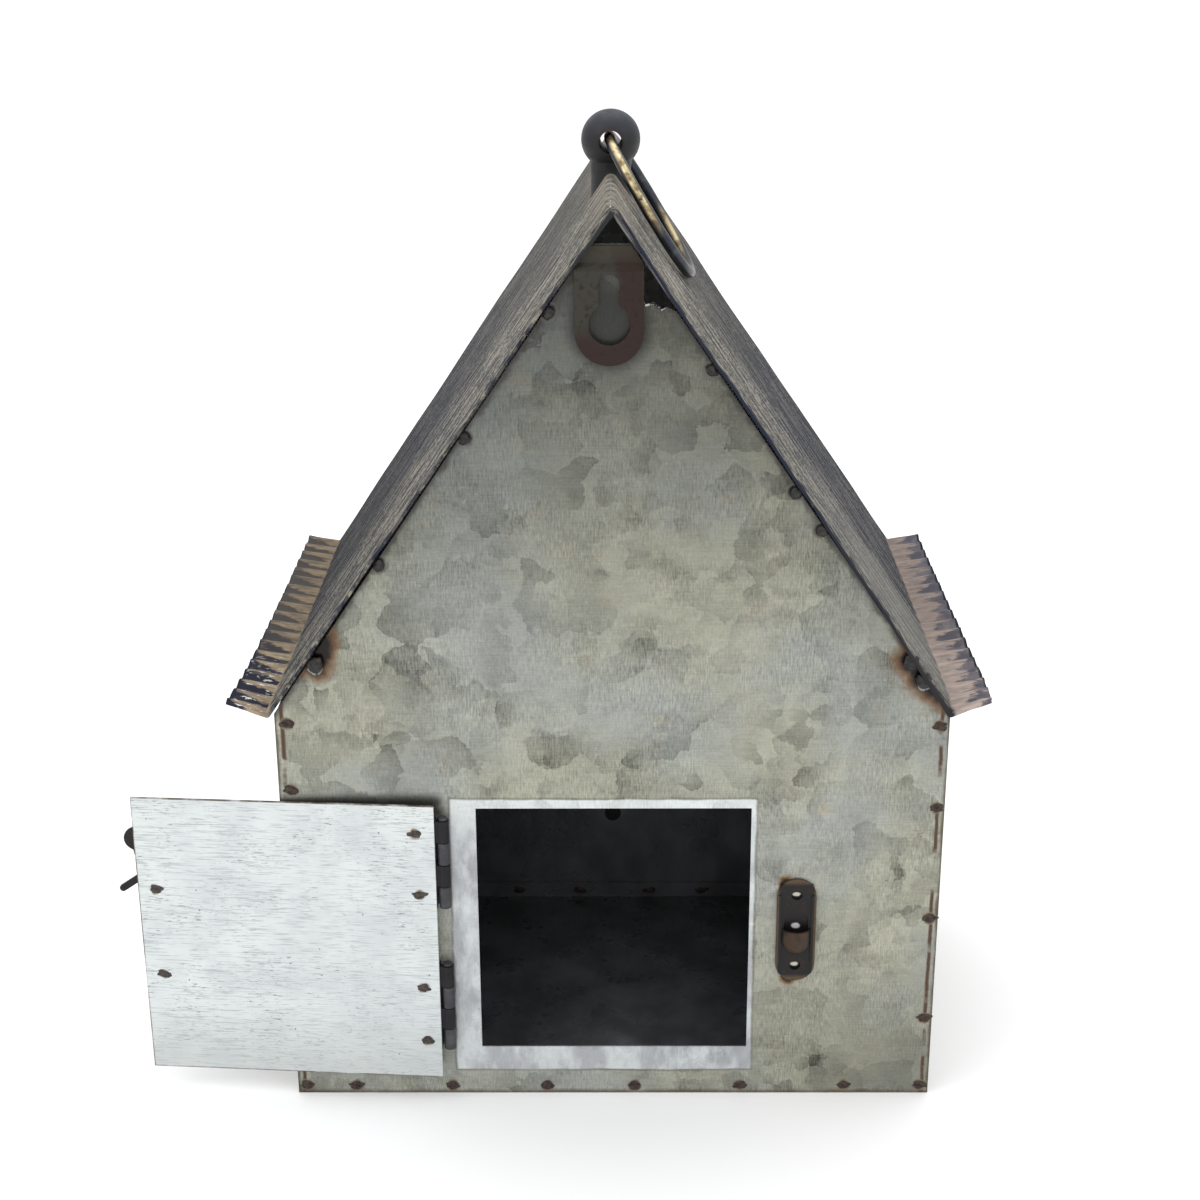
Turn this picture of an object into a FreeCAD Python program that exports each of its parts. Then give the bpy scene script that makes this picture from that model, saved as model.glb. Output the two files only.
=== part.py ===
import FreeCAD, Part
import math
import os

# House-shaped hanging lantern of galvanised sheet: a walled body under one folded corrugated roof,
# with a hinged access door and swing-hook latch in the rear wall, a keyhole hanger above the door,
# and a ball finial that carries a hanging ring.
# Millimetres, +Z up. The origin is the centre of the floor's underside; the rear wall faces -Y.
# The door stands fully open and the latch lever is raised. The joints close them from there.

Vector = FreeCAD.Vector
UP = Vector(0, 0, 1)
TOUCH = 0.05                  # gap between pieces that rest on each other

# Walls and floor
SHEET = 0.8                   # steel sheet of the walls, floor, roof and door
HOUSE_WIDTH = 214.0
HOUSE_DEPTH = 138.0
WALL_X = HOUSE_WIDTH / 2
WALL_Y = HOUSE_DEPTH / 2
SIDE_FLANGE = 8.0             # inward lips of the side walls, welded to the gable walls
FLOOR_LIP = 7.0               # upturned edge of the floor pan
SIDE_WALL_TOP = 139.5
GABLE_CUT_Z = 289.0           # the rear wall stops flat below the ridge
TORN_EDGE = [(16.5, 270.4), (15.0, 269.6), (12.4, 271.8), (10.2, 271.0), (8.6, 274.5)]
TORN_FOOT_Z = 269.0

# Openings
DOORWAY_X = (-44.0, 45.0)
DOORWAY_Z = (18.2, 107.2)
ENTRANCE_RADIUS = 19.0        # round opening of the front wall
ENTRANCE_Z = 96.0
PERCH_RADIUS = 3.0
PERCH_Z = 38.0
PERCH_END_Y = 100.0
PERCH_TAIL = 1.2              # length of the perch that shows inside the front wall

# Roof: one sheet with a fold at the ridge and a flared strip along each eave
RIDGE_Z = 299.6
FOLD_X = 108.0
FOLD_Z = 141.0
FLARE_WIDTH = 12.7
FLARE_ANGLE = 11.5
ROOF_Y = (-72.0, 102.0)
HALF_WAVES = 37               # corrugations along the roof's depth, crests and troughs together
WAVE_HEIGHT = 1.3             # crest to trough
MITRE_ROOM = 5.0              # spare length of each run before its mitres are cut
SLOPE = math.atan2(RIDGE_Z - FOLD_Z, FOLD_X)
ROOF_SKIN = (WAVE_HEIGHT + SHEET) / 2     # from the sheet's middle to a crest or a trough

# Finial and hanging ring
FINIAL_Y = 4.0
BALL_RADIUS = 9.525
BALL_Z = 309.8
BALL_SEAT_Z = 302.0
RING_HOLE_RADIUS = 3.5
NECK_RADIUS = 6.75
NECK_BOTTOM_Z = 291.0
SCREW_RADIUS = 1.5
SCREW_TIP_Z = 305.0
SADDLE_DEPTH = 12.0
SADDLE_BOTTOM_Z = 289.0
RING_RADIUS = 25.4            # centreline of the ring's wire
RING_WIRE_RADIUS = 1.8
RING_REST_GAP = 0.3           # wire to the roof's crests, lying down
RING_SET_BACK = 0.8           # wire centre past the hole's axis, away from the ring's centre

# Keyhole hanger
TAB_HALF_WIDTH = 10.2
TAB_X = -0.4
TAB_BOTTOM_Z = 253.4
TAB_TOP_Z = 288.6
TAB_STAND_OFF = 2.2           # room behind the plate for a screw head
TAB_SEAT = 5.0                # height of the strip that lies on the wall
KEYHOLE_RADIUS = 6.2
KEYHOLE_Z = 265.8
KEYSLOT_RADIUS = 3.15
KEYSLOT_TOP_Z = 280.5

# Door and hinges; "out" is the distance outward from the rear wall's outer face, door closed
HINGE_X = -54.4
HINGE_OUT = 2.8
HINGE_LENGTH = 31.75
HINGE_CENTRES = {"upper": 88.9, "lower": 35.6}
KNUCKLES = 4
KNUCKLE_RADIUS = 2.0
KNUCKLE_GAP = 0.3
PIN_RADIUS = 0.9
PIN_CLEARANCE = 0.05
LEAF = 1.0                    # thickness of the hinge leaves, keeper and latch plate
LEAF_WIDTH = 11.0
DOOR_GAP = 0.5                # closed door to wall
DOOR_LEFT = 2.6               # door's hinge edge from the hinge axis
DOOR_WIDTH = 99.0
DOOR_Z = (9.4, 110.4)
DOOR_OPEN_ANGLE = 184.0
DOOR_FACE_OUT = DOOR_GAP + SHEET
PLATE_FACE_OUT = DOOR_FACE_OUT + LEAF

# Latch
PIVOT_X = HINGE_X + 95.1
PIVOT_Z = 60.65
PLATE_WIDTH = 12.9
PLATE_LENGTH = 37.6
PLATE_HOLE_RADIUS = 1.8
PLATE_HOLE_OFFSET = 13.0
RIVET_RADIUS = 1.5
RIVET_HEAD_RADIUS = 2.8
RIVET_HEAD = 0.9
LEVER_OUT = (PLATE_FACE_OUT + 0.25, PLATE_FACE_OUT + 1.15)
LEVER_HALF_WIDTH = 2.0
LEVER_EYE_RADIUS = 3.4
THUMB = (31.3, 14.2)          # thumb disc from the pivot, latch closed
THUMB_RADIUS = 4.1
PRONG_REACH = 19.7            # hook prong from the pivot, latch closed
PRONG_HALF_WIDTH = 1.15
PRONG_TIP = -2.3
LEVER_RAISED_ANGLE = 55.0

# Keeper on the wall
KEEPER_X = PIVOT_X + PRONG_REACH
KEEPER_Z = 63.2
POCKET_RADIUS = 4.8
POCKET_WALL = 0.8
POCKET_Z = (59.6, 64.0)       # centre of the rounded bottom, and the open rim
WINDOW_TOP_Z = 66.6
RIB_RADIUS = 0.7              # raised rib along each long edge
RIB_HEIGHT = 0.4

# Weld marks
WELD_RADIUS = 2.0
WELD_TOP_RADIUS = 1.4
WELD_HEIGHT = 0.35
DOOR_WELD_HEIGHT = 0.2
BASE_WELD_X = [-104.0, -87.1, -54.4, -22.1, 7.6, 43.3, 78.4, 104.0]
BASE_WELD_Z = 3.0
CORNER_WELDS = [(-103.0, 137.0), (-103.2, 113.9), (104.0, 136.0), (104.4, 107.3), (104.4, 67.2), (104.4, 29.3)]
LIP_WELD_X = [-38.0, -13.4, 14.8, 35.9]
LIP_WELD_Z = 3.6
SLOPE_WELD_Z = {-1: [269.0, 231.0, 190.7], 1: [251.5, 213.6, 201.4]}
SLOPE_WELD_RADIUS = 2.1
EAVE_WELDS = [(-92.7, 157.6), (94.0, 158.6), (98.2, 152.0)]
EAVE_WELD_RADIUS = 3.0
DOOR_WELDS = [(9.0, 100.4), (7.9, 78.4), (7.8, 43.7), (7.1, 23.5), (95.5, 77.2), (95.4, 45.4)]


def block(x_span, y_span, z_span):
    """Box between three pairs of coordinates."""
    low, high = zip(x_span, y_span, z_span)
    return Part.makeBox(high[0] - low[0], high[1] - low[1], high[2] - low[2], Vector(*low))


def rod(radius, start, end):
    """Round rod from one point to another."""
    axis = end - start
    return Part.makeCylinder(radius, axis.Length, start, axis)


def slab(outline, y_span):
    """Plate whose outline is a list of (x, z) corners, between two depths."""
    corners = [Vector(x, y_span[0], z) for x, z in outline]
    face = Part.Face(Part.makePolygon(corners + corners[:1]))
    return face.extrude(Vector(0, y_span[1] - y_span[0], 0))


def out_span(low, high):
    """Depths of a piece that spans two distances outward from the rear wall."""
    return (-WALL_Y - high, -WALL_Y - low)


def disc(radius, x, z, y_span):
    """Round disc facing the rear."""
    return rod(radius, Vector(x, y_span[0], z), Vector(x, y_span[1], z))


def capsule(radius, low, high, y_span):
    """Round-ended plate along the line between two (x, z) points."""
    run = Vector(high[0] - low[0], 0, high[1] - low[1])
    side = run.cross(Vector(0, 1, 0)).normalize() * radius
    corners = [
        (low[0] + side.x, low[1] + side.z),
        (high[0] + side.x, high[1] + side.z),
        (high[0] - side.x, high[1] - side.z),
        (low[0] - side.x, low[1] - side.z),
    ]
    ends = [disc(radius, x, z, y_span) for x, z in (low, high)]
    return slab(corners, y_span).multiFuse(ends).removeSplitter()


def roof_half_width(z, inset):
    """Half-width between the roof's slopes at a height, inset square to the sheet's middle."""
    return (RIDGE_Z - z) / math.tan(SLOPE) - inset / math.sin(SLOPE)


def roof_height(x, inset):
    """Height of a slope over a distance from the ridge, inset square to the sheet's middle."""
    return RIDGE_Z - x * math.tan(SLOPE) - inset / math.cos(SLOPE)


def gable_corners(inset):
    """Bottom and eave corners of a gable, in order from the apex's right side to its left."""
    eave = roof_height(WALL_X, inset)
    return [(WALL_X, eave), (WALL_X, 0), (-WALL_X, 0), (-WALL_X, eave)]


def rear_wall():
    """Gable wall with the doorway, cut flat at the top and torn at its right shoulder."""
    inset = ROOF_SKIN + TOUCH
    half_top = roof_half_width(GABLE_CUT_Z, inset)
    tear_x = TORN_EDGE[-1][0]
    outline = [(-half_top, GABLE_CUT_Z), (half_top, GABLE_CUT_Z), (tear_x, roof_height(tear_x, inset))]
    outline += reversed(TORN_EDGE)
    outline += [(roof_half_width(TORN_FOOT_Z, inset), TORN_FOOT_Z)] + gable_corners(inset)
    wall = slab(outline, (-WALL_Y, -WALL_Y + SHEET))
    return wall.cut(block(DOORWAY_X, (-WALL_Y - 1, -WALL_Y + 2), DOORWAY_Z))


def front_wall():
    """Full gable wall with a round opening and the hole for the perch."""
    inset = ROOF_SKIN + TOUCH
    apex = [(0, roof_height(0, inset))]
    wall = slab(apex + gable_corners(inset), (WALL_Y - SHEET, WALL_Y))
    through = (WALL_Y - 2, WALL_Y + 2)
    wall = wall.cut(disc(ENTRANCE_RADIUS, 0, ENTRANCE_Z, through))
    return wall.cut(disc(PERCH_RADIUS, 0, PERCH_Z, through))


def side_wall(side):
    """Flat side wall with an inward lip along each gable wall."""
    outer = side * WALL_X
    inner = outer - side * SHEET
    lip = outer - side * SIDE_FLANGE
    depth = WALL_Y - SHEET
    plate = block(sorted((outer, inner)), (-depth, depth), (0, SIDE_WALL_TOP))
    lips = []
    for y in (-1, 1):
        face = sorted((y * depth, y * (depth - SHEET)))
        lips.append(block(sorted((inner, lip)), face, (FLOOR_LIP + 0.5, SIDE_WALL_TOP)))
    return plate.multiFuse(lips).removeSplitter()


def floor_pan():
    """Shallow tray that closes the bottom between the four walls."""
    x = WALL_X - SHEET - TOUCH
    y = WALL_Y - SHEET - TOUCH
    outer = block((-x, x), (-y, y), (0, FLOOR_LIP))
    inner = block((-x + SHEET, x - SHEET), (-y + SHEET, y - SHEET), (SHEET, FLOOR_LIP + 1))
    return outer.cut(inner)


def perch_rod():
    """Perch below the round opening, pushed through the front wall."""
    tail = Vector(0, WALL_Y - SHEET - PERCH_TAIL, PERCH_Z)
    tip = Vector(0, PERCH_END_Y, PERCH_Z)
    perch = rod(PERCH_RADIUS, tail, tip)
    ends = [edge for edge in perch.Edges if edge.BoundBox.YLength < 0.01 and edge.BoundBox.YMin > WALL_Y]
    return perch.makeChamfer(0.6, ends)


def wave_line(height):
    """Corrugated line along the depth, as arcs that bend up and down in turn."""
    step = (ROOF_Y[1] - ROOF_Y[0]) / HALF_WAVES
    arcs = []
    for index in range(HALF_WAVES):
        start = ROOF_Y[0] + index * step
        bulge = height + (-1) ** index * WAVE_HEIGHT / 2
        points = [(start, height), (start + step / 2, bulge), (start + step, height)]
        arcs.append(Part.Arc(*[Vector(0, y, z) for y, z in points]).toShape())
    return arcs


def roof_strip(length):
    """Flat corrugated strip, its middle line on Z = 0, running along X from 0."""
    under = wave_line(-SHEET / 2)
    over = wave_line(SHEET / 2)
    ends = []
    for y in ROOF_Y:
        ends.append(Part.makeLine(Vector(0, y, -SHEET / 2), Vector(0, y, SHEET / 2)))
    outline = Part.Wire([*under, ends[1], *reversed(over), ends[0]])
    return Part.Face(outline).extrude(Vector(length, 0, 0))


def roof_line():
    """Bends of the sheet's middle line from the left tip over the ridge to the right tip."""
    flare = math.radians(FLARE_ANGLE)
    tip_x = FOLD_X + FLARE_WIDTH * math.cos(flare)
    tip_z = FOLD_Z + FLARE_WIDTH * math.sin(flare)
    right = [Vector(FOLD_X, 0, FOLD_Z), Vector(tip_x, 0, tip_z)]
    left = [Vector(-corner.x, 0, corner.z) for corner in reversed(right)]
    return left + [Vector(0, 0, RIDGE_Z)] + right


def bend_squares(line):
    """At each corner of the roof line, the mitre direction that is one unit square to its runs."""
    normals = []
    for start, end in zip(line, line[1:]):
        run = end - start
        normals.append(Vector(-run.z, 0, run.x).normalize())
    squares = []
    for one, two in zip(normals[:1] + normals, normals + normals[-1:]):
        squares.append((one + two) * (1 / (1 + one.dot(two))))
    return squares


def roof_run(start, end, start_square, end_square):
    """One straight run of the roof, cut along the mitres at its two ends."""
    run = end - start
    along = Vector(run).normalize()
    strip = roof_strip(run.Length + 2 * MITRE_ROOM)
    strip.rotate(Vector(), Vector(0, 1, 0), -math.degrees(math.atan2(run.z, run.x)))
    strip.translate(start - along * MITRE_ROOM)
    sides = [start - start_square * MITRE_ROOM, end - end_square * MITRE_ROOM]
    sides += [end + end_square * MITRE_ROOM, start + start_square * MITRE_ROOM]
    return strip.common(slab([(side.x, side.z) for side in sides], (ROOF_Y[0] - 1, ROOF_Y[1] + 1)))


def roof_sheet():
    """Corrugated sheet, mitred at each bend, with a screw hole through the ridge."""
    line = roof_line()
    squares = bend_squares(line)
    runs = [roof_run(*ends) for ends in zip(line, line[1:], squares, squares[1:])]
    hole = rod(SCREW_RADIUS + TOUCH, Vector(0, FINIAL_Y, RIDGE_Z - 8), Vector(0, FINIAL_Y, RIDGE_Z + 8))
    return runs[0].multiFuse(runs[1:]).cut(hole)


def finial_ball():
    """Ball with a cross hole for the ring, flat and drilled where it sits on its neck."""
    centre = Vector(0, FINIAL_Y, BALL_Z)
    reach = Vector(0, 2 * BALL_RADIUS, 0)
    ball = Part.makeSphere(BALL_RADIUS, centre)
    half = BALL_RADIUS + 1
    below = block((-half, half), (FINIAL_Y - half, FINIAL_Y + half), (BALL_SEAT_Z - half, BALL_SEAT_Z))
    ball = ball.cut(below).cut(rod(RING_HOLE_RADIUS, centre - reach, centre + reach))
    screw = rod(SCREW_RADIUS, Vector(0, FINIAL_Y, BALL_SEAT_Z - 1), Vector(0, FINIAL_Y, SCREW_TIP_Z))
    return ball.cut(screw)


def ridge_wedge(inset, half_depth, bottom_z):
    """Wedge under a line inset from the roof sheet's middle, around the finial."""
    half = roof_half_width(bottom_z, inset)
    outline = [(0, roof_height(0, inset)), (half, bottom_z), (-half, bottom_z)]
    return slab(outline, (FINIAL_Y - half_depth, FINIAL_Y + half_depth))


def finial_neck():
    """Collar under the ball that straddles the ridge."""
    base = Vector(0, FINIAL_Y, NECK_BOTTOM_Z)
    seat = Vector(0, FINIAL_Y, BALL_SEAT_Z)
    neck = rod(NECK_RADIUS, base, seat)
    neck = neck.cut(ridge_wedge(-ROOF_SKIN - TOUCH, 2 * NECK_RADIUS, NECK_BOTTOM_Z - 1))
    return neck.cut(rod(SCREW_RADIUS + TOUCH, base, seat + UP))


def finial_saddle():
    """Wedge nut inside the ridge that spreads the ring's pull over both slopes."""
    saddle = ridge_wedge(ROOF_SKIN + TOUCH, SADDLE_DEPTH / 2, SADDLE_BOTTOM_Z)
    bottom = Vector(0, FINIAL_Y, SADDLE_BOTTOM_Z - 1)
    return saddle.cut(rod(SCREW_RADIUS + TOUCH, bottom, Vector(0, FINIAL_Y, RIDGE_Z)))


def finial_screw():
    """Screw from inside the ridge up into the ball."""
    seat = Vector(0, FINIAL_Y, SADDLE_BOTTOM_Z - TOUCH)
    shank = rod(SCREW_RADIUS, seat, Vector(0, FINIAL_Y, SCREW_TIP_Z - TOUCH))
    head = rod(2 * SCREW_RADIUS, seat - UP * 2, seat)
    slot = block((-4, 4), (FINIAL_Y - 0.4, FINIAL_Y + 0.4), (SADDLE_BOTTOM_Z - 3, SADDLE_BOTTOM_Z - 1.2))
    return head.fuse(shank).cut(slot)


def ring_rest_angle():
    """Angle below horizontal at which the ring's far side rests on the right slope."""
    hole_height = (BALL_Z - RIDGE_Z) * math.cos(SLOPE) - ROOF_SKIN
    drop = hole_height - RING_WIRE_RADIUS - RING_REST_GAP
    return SLOPE + math.asin(drop / (2 * RING_RADIUS - RING_SET_BACK))


def hanging_ring():
    """Closed wire ring through the ball, lying on the right slope."""
    angle = ring_rest_angle()
    along = Vector(math.cos(angle), 0, -math.sin(angle))
    normal = Vector(math.sin(angle), 0, math.cos(angle))
    centre = Vector(0, FINIAL_Y, BALL_Z) + along * (RING_RADIUS - RING_SET_BACK)
    return Part.makeTorus(RING_RADIUS, RING_WIRE_RADIUS, centre, normal)


def hanger_tab():
    """Round-ended keyhole plate with a joggled top strip that lies on the wall."""
    shoulder_z = TAB_TOP_Z - TAB_SEAT
    ramp_z = shoulder_z - TAB_STAND_OFF
    side = [
        (0, TAB_TOP_Z),
        (SHEET, TAB_TOP_Z),
        (SHEET, shoulder_z),
        (TAB_STAND_OFF + SHEET, ramp_z),
        (TAB_STAND_OFF + SHEET, TAB_BOTTOM_Z),
        (TAB_STAND_OFF, TAB_BOTTOM_Z),
        (TAB_STAND_OFF, ramp_z - SHEET / 2),
        (0, shoulder_z - SHEET / 2),
    ]
    corners = [Vector(TAB_X - TAB_HALF_WIDTH, -WALL_Y - out, z) for out, z in side]
    strip = Part.Face(Part.makePolygon(corners + corners[:1])).extrude(Vector(2 * TAB_HALF_WIDTH, 0, 0))
    depth = out_span(-1, TAB_STAND_OFF + 2)
    round_z = TAB_BOTTOM_Z + TAB_HALF_WIDTH
    outline = capsule(TAB_HALF_WIDTH, (TAB_X, round_z), (TAB_X, TAB_TOP_Z + TAB_HALF_WIDTH), depth)
    keyhole = disc(KEYHOLE_RADIUS, TAB_X, KEYHOLE_Z, depth)
    slot = capsule(KEYSLOT_RADIUS, (TAB_X, KEYHOLE_Z), (TAB_X, KEYSLOT_TOP_Z - KEYSLOT_RADIUS), depth)
    under_roof = slab([(0, roof_height(0, ROOF_SKIN + TOUCH))] + gable_corners(ROOF_SKIN + TOUCH), depth)
    return strip.common(outline).common(under_roof).cut(keyhole).cut(slot)


def knuckle_spans(z_low, indices):
    """Heights of the numbered knuckles, counted from the top of a hinge."""
    pitch = HINGE_LENGTH / KNUCKLES
    spans = []
    for index in indices:
        top = z_low + HINGE_LENGTH - index * pitch
        spans.append((top - pitch + KNUCKLE_GAP / 2, top - KNUCKLE_GAP / 2))
    return spans


def hinge_leaf(z_low, side, face_out, indices, bore):
    """Leaf from the barrel to one side, with its own knuckles; side is 1 for the door."""
    y_axis = -WALL_Y - HINGE_OUT
    start = HINGE_X + side * (KNUCKLE_RADIUS + 0.4)
    end = HINGE_X + side * LEAF_WIDTH
    leaf = block(sorted((start, end)), out_span(face_out, face_out + LEAF), (z_low, z_low + HINGE_LENGTH))
    parts = []
    for z_span in knuckle_spans(z_low, indices):
        foot = Vector(HINGE_X, y_axis, z_span[0])
        parts.append(rod(KNUCKLE_RADIUS, foot, Vector(HINGE_X, y_axis, z_span[1])))
        web_out = out_span(face_out, min(face_out + LEAF, HINGE_OUT))
        parts.append(block(sorted((HINGE_X, start)), web_out, z_span))
    leaf = leaf.multiFuse(parts)
    hole = rod(bore, Vector(HINGE_X, y_axis, z_low - 1), Vector(HINGE_X, y_axis, z_low + HINGE_LENGTH + 1))
    return leaf.cut(hole).removeSplitter()


def hinge_pin(z_low):
    """Pin with a button head above the top knuckle."""
    y_axis = -WALL_Y - HINGE_OUT
    foot = Vector(HINGE_X, y_axis, z_low)
    top = Vector(HINGE_X, y_axis, z_low + HINGE_LENGTH + TOUCH)
    head = rod(PIN_RADIUS + 0.6, top, top + UP * 0.7)
    return rod(PIN_RADIUS, foot, top).fuse(head)


def door_panel():
    """Flat door sheet."""
    x = HINGE_X + DOOR_LEFT
    return block((x, x + DOOR_WIDTH), out_span(DOOR_GAP, DOOR_FACE_OUT), DOOR_Z)


def round_ended_plate(x, z, y_span):
    """Narrow vertical plate with rounded ends and two screw holes."""
    reach = (PLATE_LENGTH - PLATE_WIDTH) / 2
    plate = capsule(PLATE_WIDTH / 2, (x, z - reach), (x, z + reach), y_span)
    through = (y_span[0] - 1, y_span[1] + 1)
    for offset in (-PLATE_HOLE_OFFSET, PLATE_HOLE_OFFSET):
        plate = plate.cut(disc(PLATE_HOLE_RADIUS, x, z + offset, through))
    return plate


def latch_plate():
    """Plate on the door that carries the latch lever."""
    face = out_span(DOOR_FACE_OUT, PLATE_FACE_OUT)
    plate = round_ended_plate(PIVOT_X, PIVOT_Z, face)
    return plate.cut(disc(RIVET_RADIUS, PIVOT_X, PIVOT_Z, (face[0] - 1, face[1] + 1)))


def latch_rivet():
    """Rivet that the latch lever turns on."""
    head_out = LEVER_OUT[1] + 0.2
    shank = disc(RIVET_RADIUS, PIVOT_X, PIVOT_Z, out_span(DOOR_FACE_OUT, head_out))
    head = disc(RIVET_HEAD_RADIUS, PIVOT_X, PIVOT_Z, out_span(head_out, head_out + RIVET_HEAD))
    rim = [edge for edge in head.Edges if edge.BoundBox.YMax < -WALL_Y - head_out - 0.01]
    return head.makeFillet(0.6, rim).fuse(shank)


def latch_lever():
    """Swing hook: an arm with a thumb disc, and a prong that drops into the keeper."""
    depth = out_span(*LEVER_OUT)
    pivot = (PIVOT_X, PIVOT_Z)
    thumb = (PIVOT_X + THUMB[0], PIVOT_Z + THUMB[1])
    arm = capsule(LEVER_HALF_WIDTH, pivot, thumb, depth)
    root_z = PIVOT_Z + PRONG_REACH * THUMB[1] / THUMB[0]
    prong_x = PIVOT_X + PRONG_REACH
    tip = (prong_x, PIVOT_Z + PRONG_TIP + PRONG_HALF_WIDTH)
    prong = capsule(PRONG_HALF_WIDTH, tip, (prong_x, root_z), depth)
    eye = disc(LEVER_EYE_RADIUS, *pivot, depth)
    lever = arm.multiFuse([prong, eye, disc(THUMB_RADIUS, *thumb, depth)])
    return lever.cut(disc(RIVET_RADIUS + PIN_CLEARANCE, *pivot, out_span(-1, 6))).removeSplitter()


def pocket_form(radius):
    """Half-round cup form, rounded at the bottom, that bulges out from the wall."""
    centre = Vector(KEEPER_X, -WALL_Y, POCKET_Z[0])
    rim = Vector(KEEPER_X, -WALL_Y, POCKET_Z[1])
    form = rod(radius, centre, rim).fuse(Part.makeSphere(radius, centre))
    room = 2 * radius
    return form.common(block((KEEPER_X - room, KEEPER_X + room), out_span(0, room), (0, POCKET_Z[1])))


def keeper_plate():
    """Ribbed plate on the wall, with a window whose lower half is pushed out into a pocket."""
    plate = round_ended_plate(KEEPER_X, KEEPER_Z, out_span(0, LEAF))
    reach = PLATE_LENGTH / 2 - PLATE_WIDTH / 2
    for side in (-1, 1):
        x = KEEPER_X + side * (PLATE_WIDTH / 2 - RIB_RADIUS - 0.2)
        ends = ((x, KEEPER_Z - reach), (x, KEEPER_Z + reach))
        plate = plate.fuse(capsule(RIB_RADIUS, *ends, out_span(LEAF / 2, LEAF + RIB_HEIGHT)))
    inner = POCKET_RADIUS - POCKET_WALL
    window = capsule(inner, (KEEPER_X, POCKET_Z[0]), (KEEPER_X, WINDOW_TOP_Z), out_span(-1, LEAF + 1))
    return plate.fuse(pocket_form(POCKET_RADIUS)).cut(pocket_form(inner)).cut(window)


def weld_spot(x, y, z, facing, height=WELD_HEIGHT):
    """Low round weld mark on a face at depth y that looks toward facing (-1 rear, 1 front)."""
    return Part.makeCone(WELD_RADIUS, WELD_TOP_RADIUS, height, Vector(x, y, z), Vector(0, facing, 0))


def wall_welds():
    """Spot-weld marks along the foot and the corners of the rear wall."""
    spots = [(x, BASE_WELD_Z) for x in BASE_WELD_X] + CORNER_WELDS
    return [weld_spot(x, -WALL_Y, z, -1) for x, z in spots]


def floor_welds():
    """Spot-weld marks on the inner face of the floor pan's front lip."""
    y = WALL_Y - 2 * SHEET - TOUCH
    return [weld_spot(x, y, LIP_WELD_Z, -1) for x in LIP_WELD_X]


def weld_bead(x, z, radius):
    """Weld nugget in the corner between the rear wall and the roof's overhang."""
    bead = Part.makeSphere(radius, Vector(x, -WALL_Y, z))
    inset = ROOF_SKIN + TOUCH
    outline = [(0, roof_height(0, inset))] + gable_corners(inset)
    return bead.common(slab(outline, (ROOF_Y[0], -WALL_Y)))


def roof_welds():
    """Tack welds between the roof and the rear wall's slanted edges."""
    beads = [weld_bead(x, z, EAVE_WELD_RADIUS) for x, z in EAVE_WELDS]
    for side, heights in SLOPE_WELD_Z.items():
        for z in heights:
            x = side * (roof_half_width(z, ROOF_SKIN) - 1.0)
            beads.append(weld_bead(x, z, SLOPE_WELD_RADIUS))
    return beads


def door_welds():
    """Spot-weld marks on the door's inner face, behind its hinge leaves and latch plate."""
    y = -WALL_Y - DOOR_GAP
    return [weld_spot(HINGE_X + x, y, z, 1, DOOR_WELD_HEIGHT) for x, z in DOOR_WELDS]


def raise_lever(shape):
    """Turn a piece about the latch pivot from closed to raised."""
    shape.rotate(Vector(PIVOT_X, -WALL_Y, PIVOT_Z), Vector(0, -1, 0), LEVER_RAISED_ANGLE)
    return shape


def open_door(shape):
    """Turn a piece about the hinge axis from the closed door to the open one."""
    shape.rotate(Vector(HINGE_X, -WALL_Y - HINGE_OUT, 0), UP, -DOOR_OPEN_ANGLE)
    return shape


def fixed_parts():
    """Pieces of the house itself."""
    parts = {
        "rear_wall": rear_wall(),
        "front_wall": front_wall(),
        "left_side_wall": side_wall(-1),
        "right_side_wall": side_wall(1),
        "floor_pan": floor_pan(),
        "perch_rod": perch_rod(),
        "roof_sheet": roof_sheet(),
        "finial_ball": finial_ball(),
        "finial_neck": finial_neck(),
        "finial_saddle": finial_saddle(),
        "finial_screw": finial_screw(),
        "hanger_tab": hanger_tab(),
        "keeper_plate": keeper_plate(),
        "wall_spot_welds": Part.makeCompound(wall_welds()),
        "floor_spot_welds": Part.makeCompound(floor_welds()),
        "roof_tack_welds": Part.makeCompound(roof_welds()),
    }
    for name, centre in HINGE_CENTRES.items():
        z_low = centre - HINGE_LENGTH / 2
        parts[name + "_hinge_wall_leaf"] = hinge_leaf(z_low, -1, 0, (1, 3), PIN_RADIUS)
        parts[name + "_hinge_pin"] = hinge_pin(z_low)
    return parts


def door_parts():
    """Pieces that swing with the door, in its open position."""
    parts = {
        "door_panel": door_panel(),
        "latch_plate": latch_plate(),
        "latch_rivet": latch_rivet(),
        "latch_lever": raise_lever(latch_lever()),
        "door_spot_welds": Part.makeCompound(door_welds()),
    }
    for name, centre in HINGE_CENTRES.items():
        z_low = centre - HINGE_LENGTH / 2
        bore = PIN_RADIUS + PIN_CLEARANCE
        parts[name + "_hinge_door_leaf"] = hinge_leaf(z_low, 1, DOOR_FACE_OUT, (0, 2), bore)
    return {name: open_door(shape) for name, shape in parts.items()}


def main():
    """Write every piece to its own STEP file."""
    os.makedirs("parts", exist_ok=True)
    parts = fixed_parts()
    parts.update(door_parts())
    parts["hanging_ring"] = hanging_ring()
    for name, shape in parts.items():
        shape.exportStep("parts/" + name + ".step")
        box = shape.BoundBox
        print(f"{name}: solids {len(shape.Solids)}, valid {shape.isValid()}, volume {shape.Volume:.1f}")
        print(f"    x {box.XMin:.2f} {box.XMax:.2f}  y {box.YMin:.2f} {box.YMax:.2f}  z {box.ZMin:.2f} {box.ZMax:.2f}")
    print(f"ring rests {math.degrees(ring_rest_angle()):.2f} degrees below horizontal")


main()
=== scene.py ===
from math import asin, atan2, copysign, cos, exp, pi, radians, sin, tan

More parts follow.
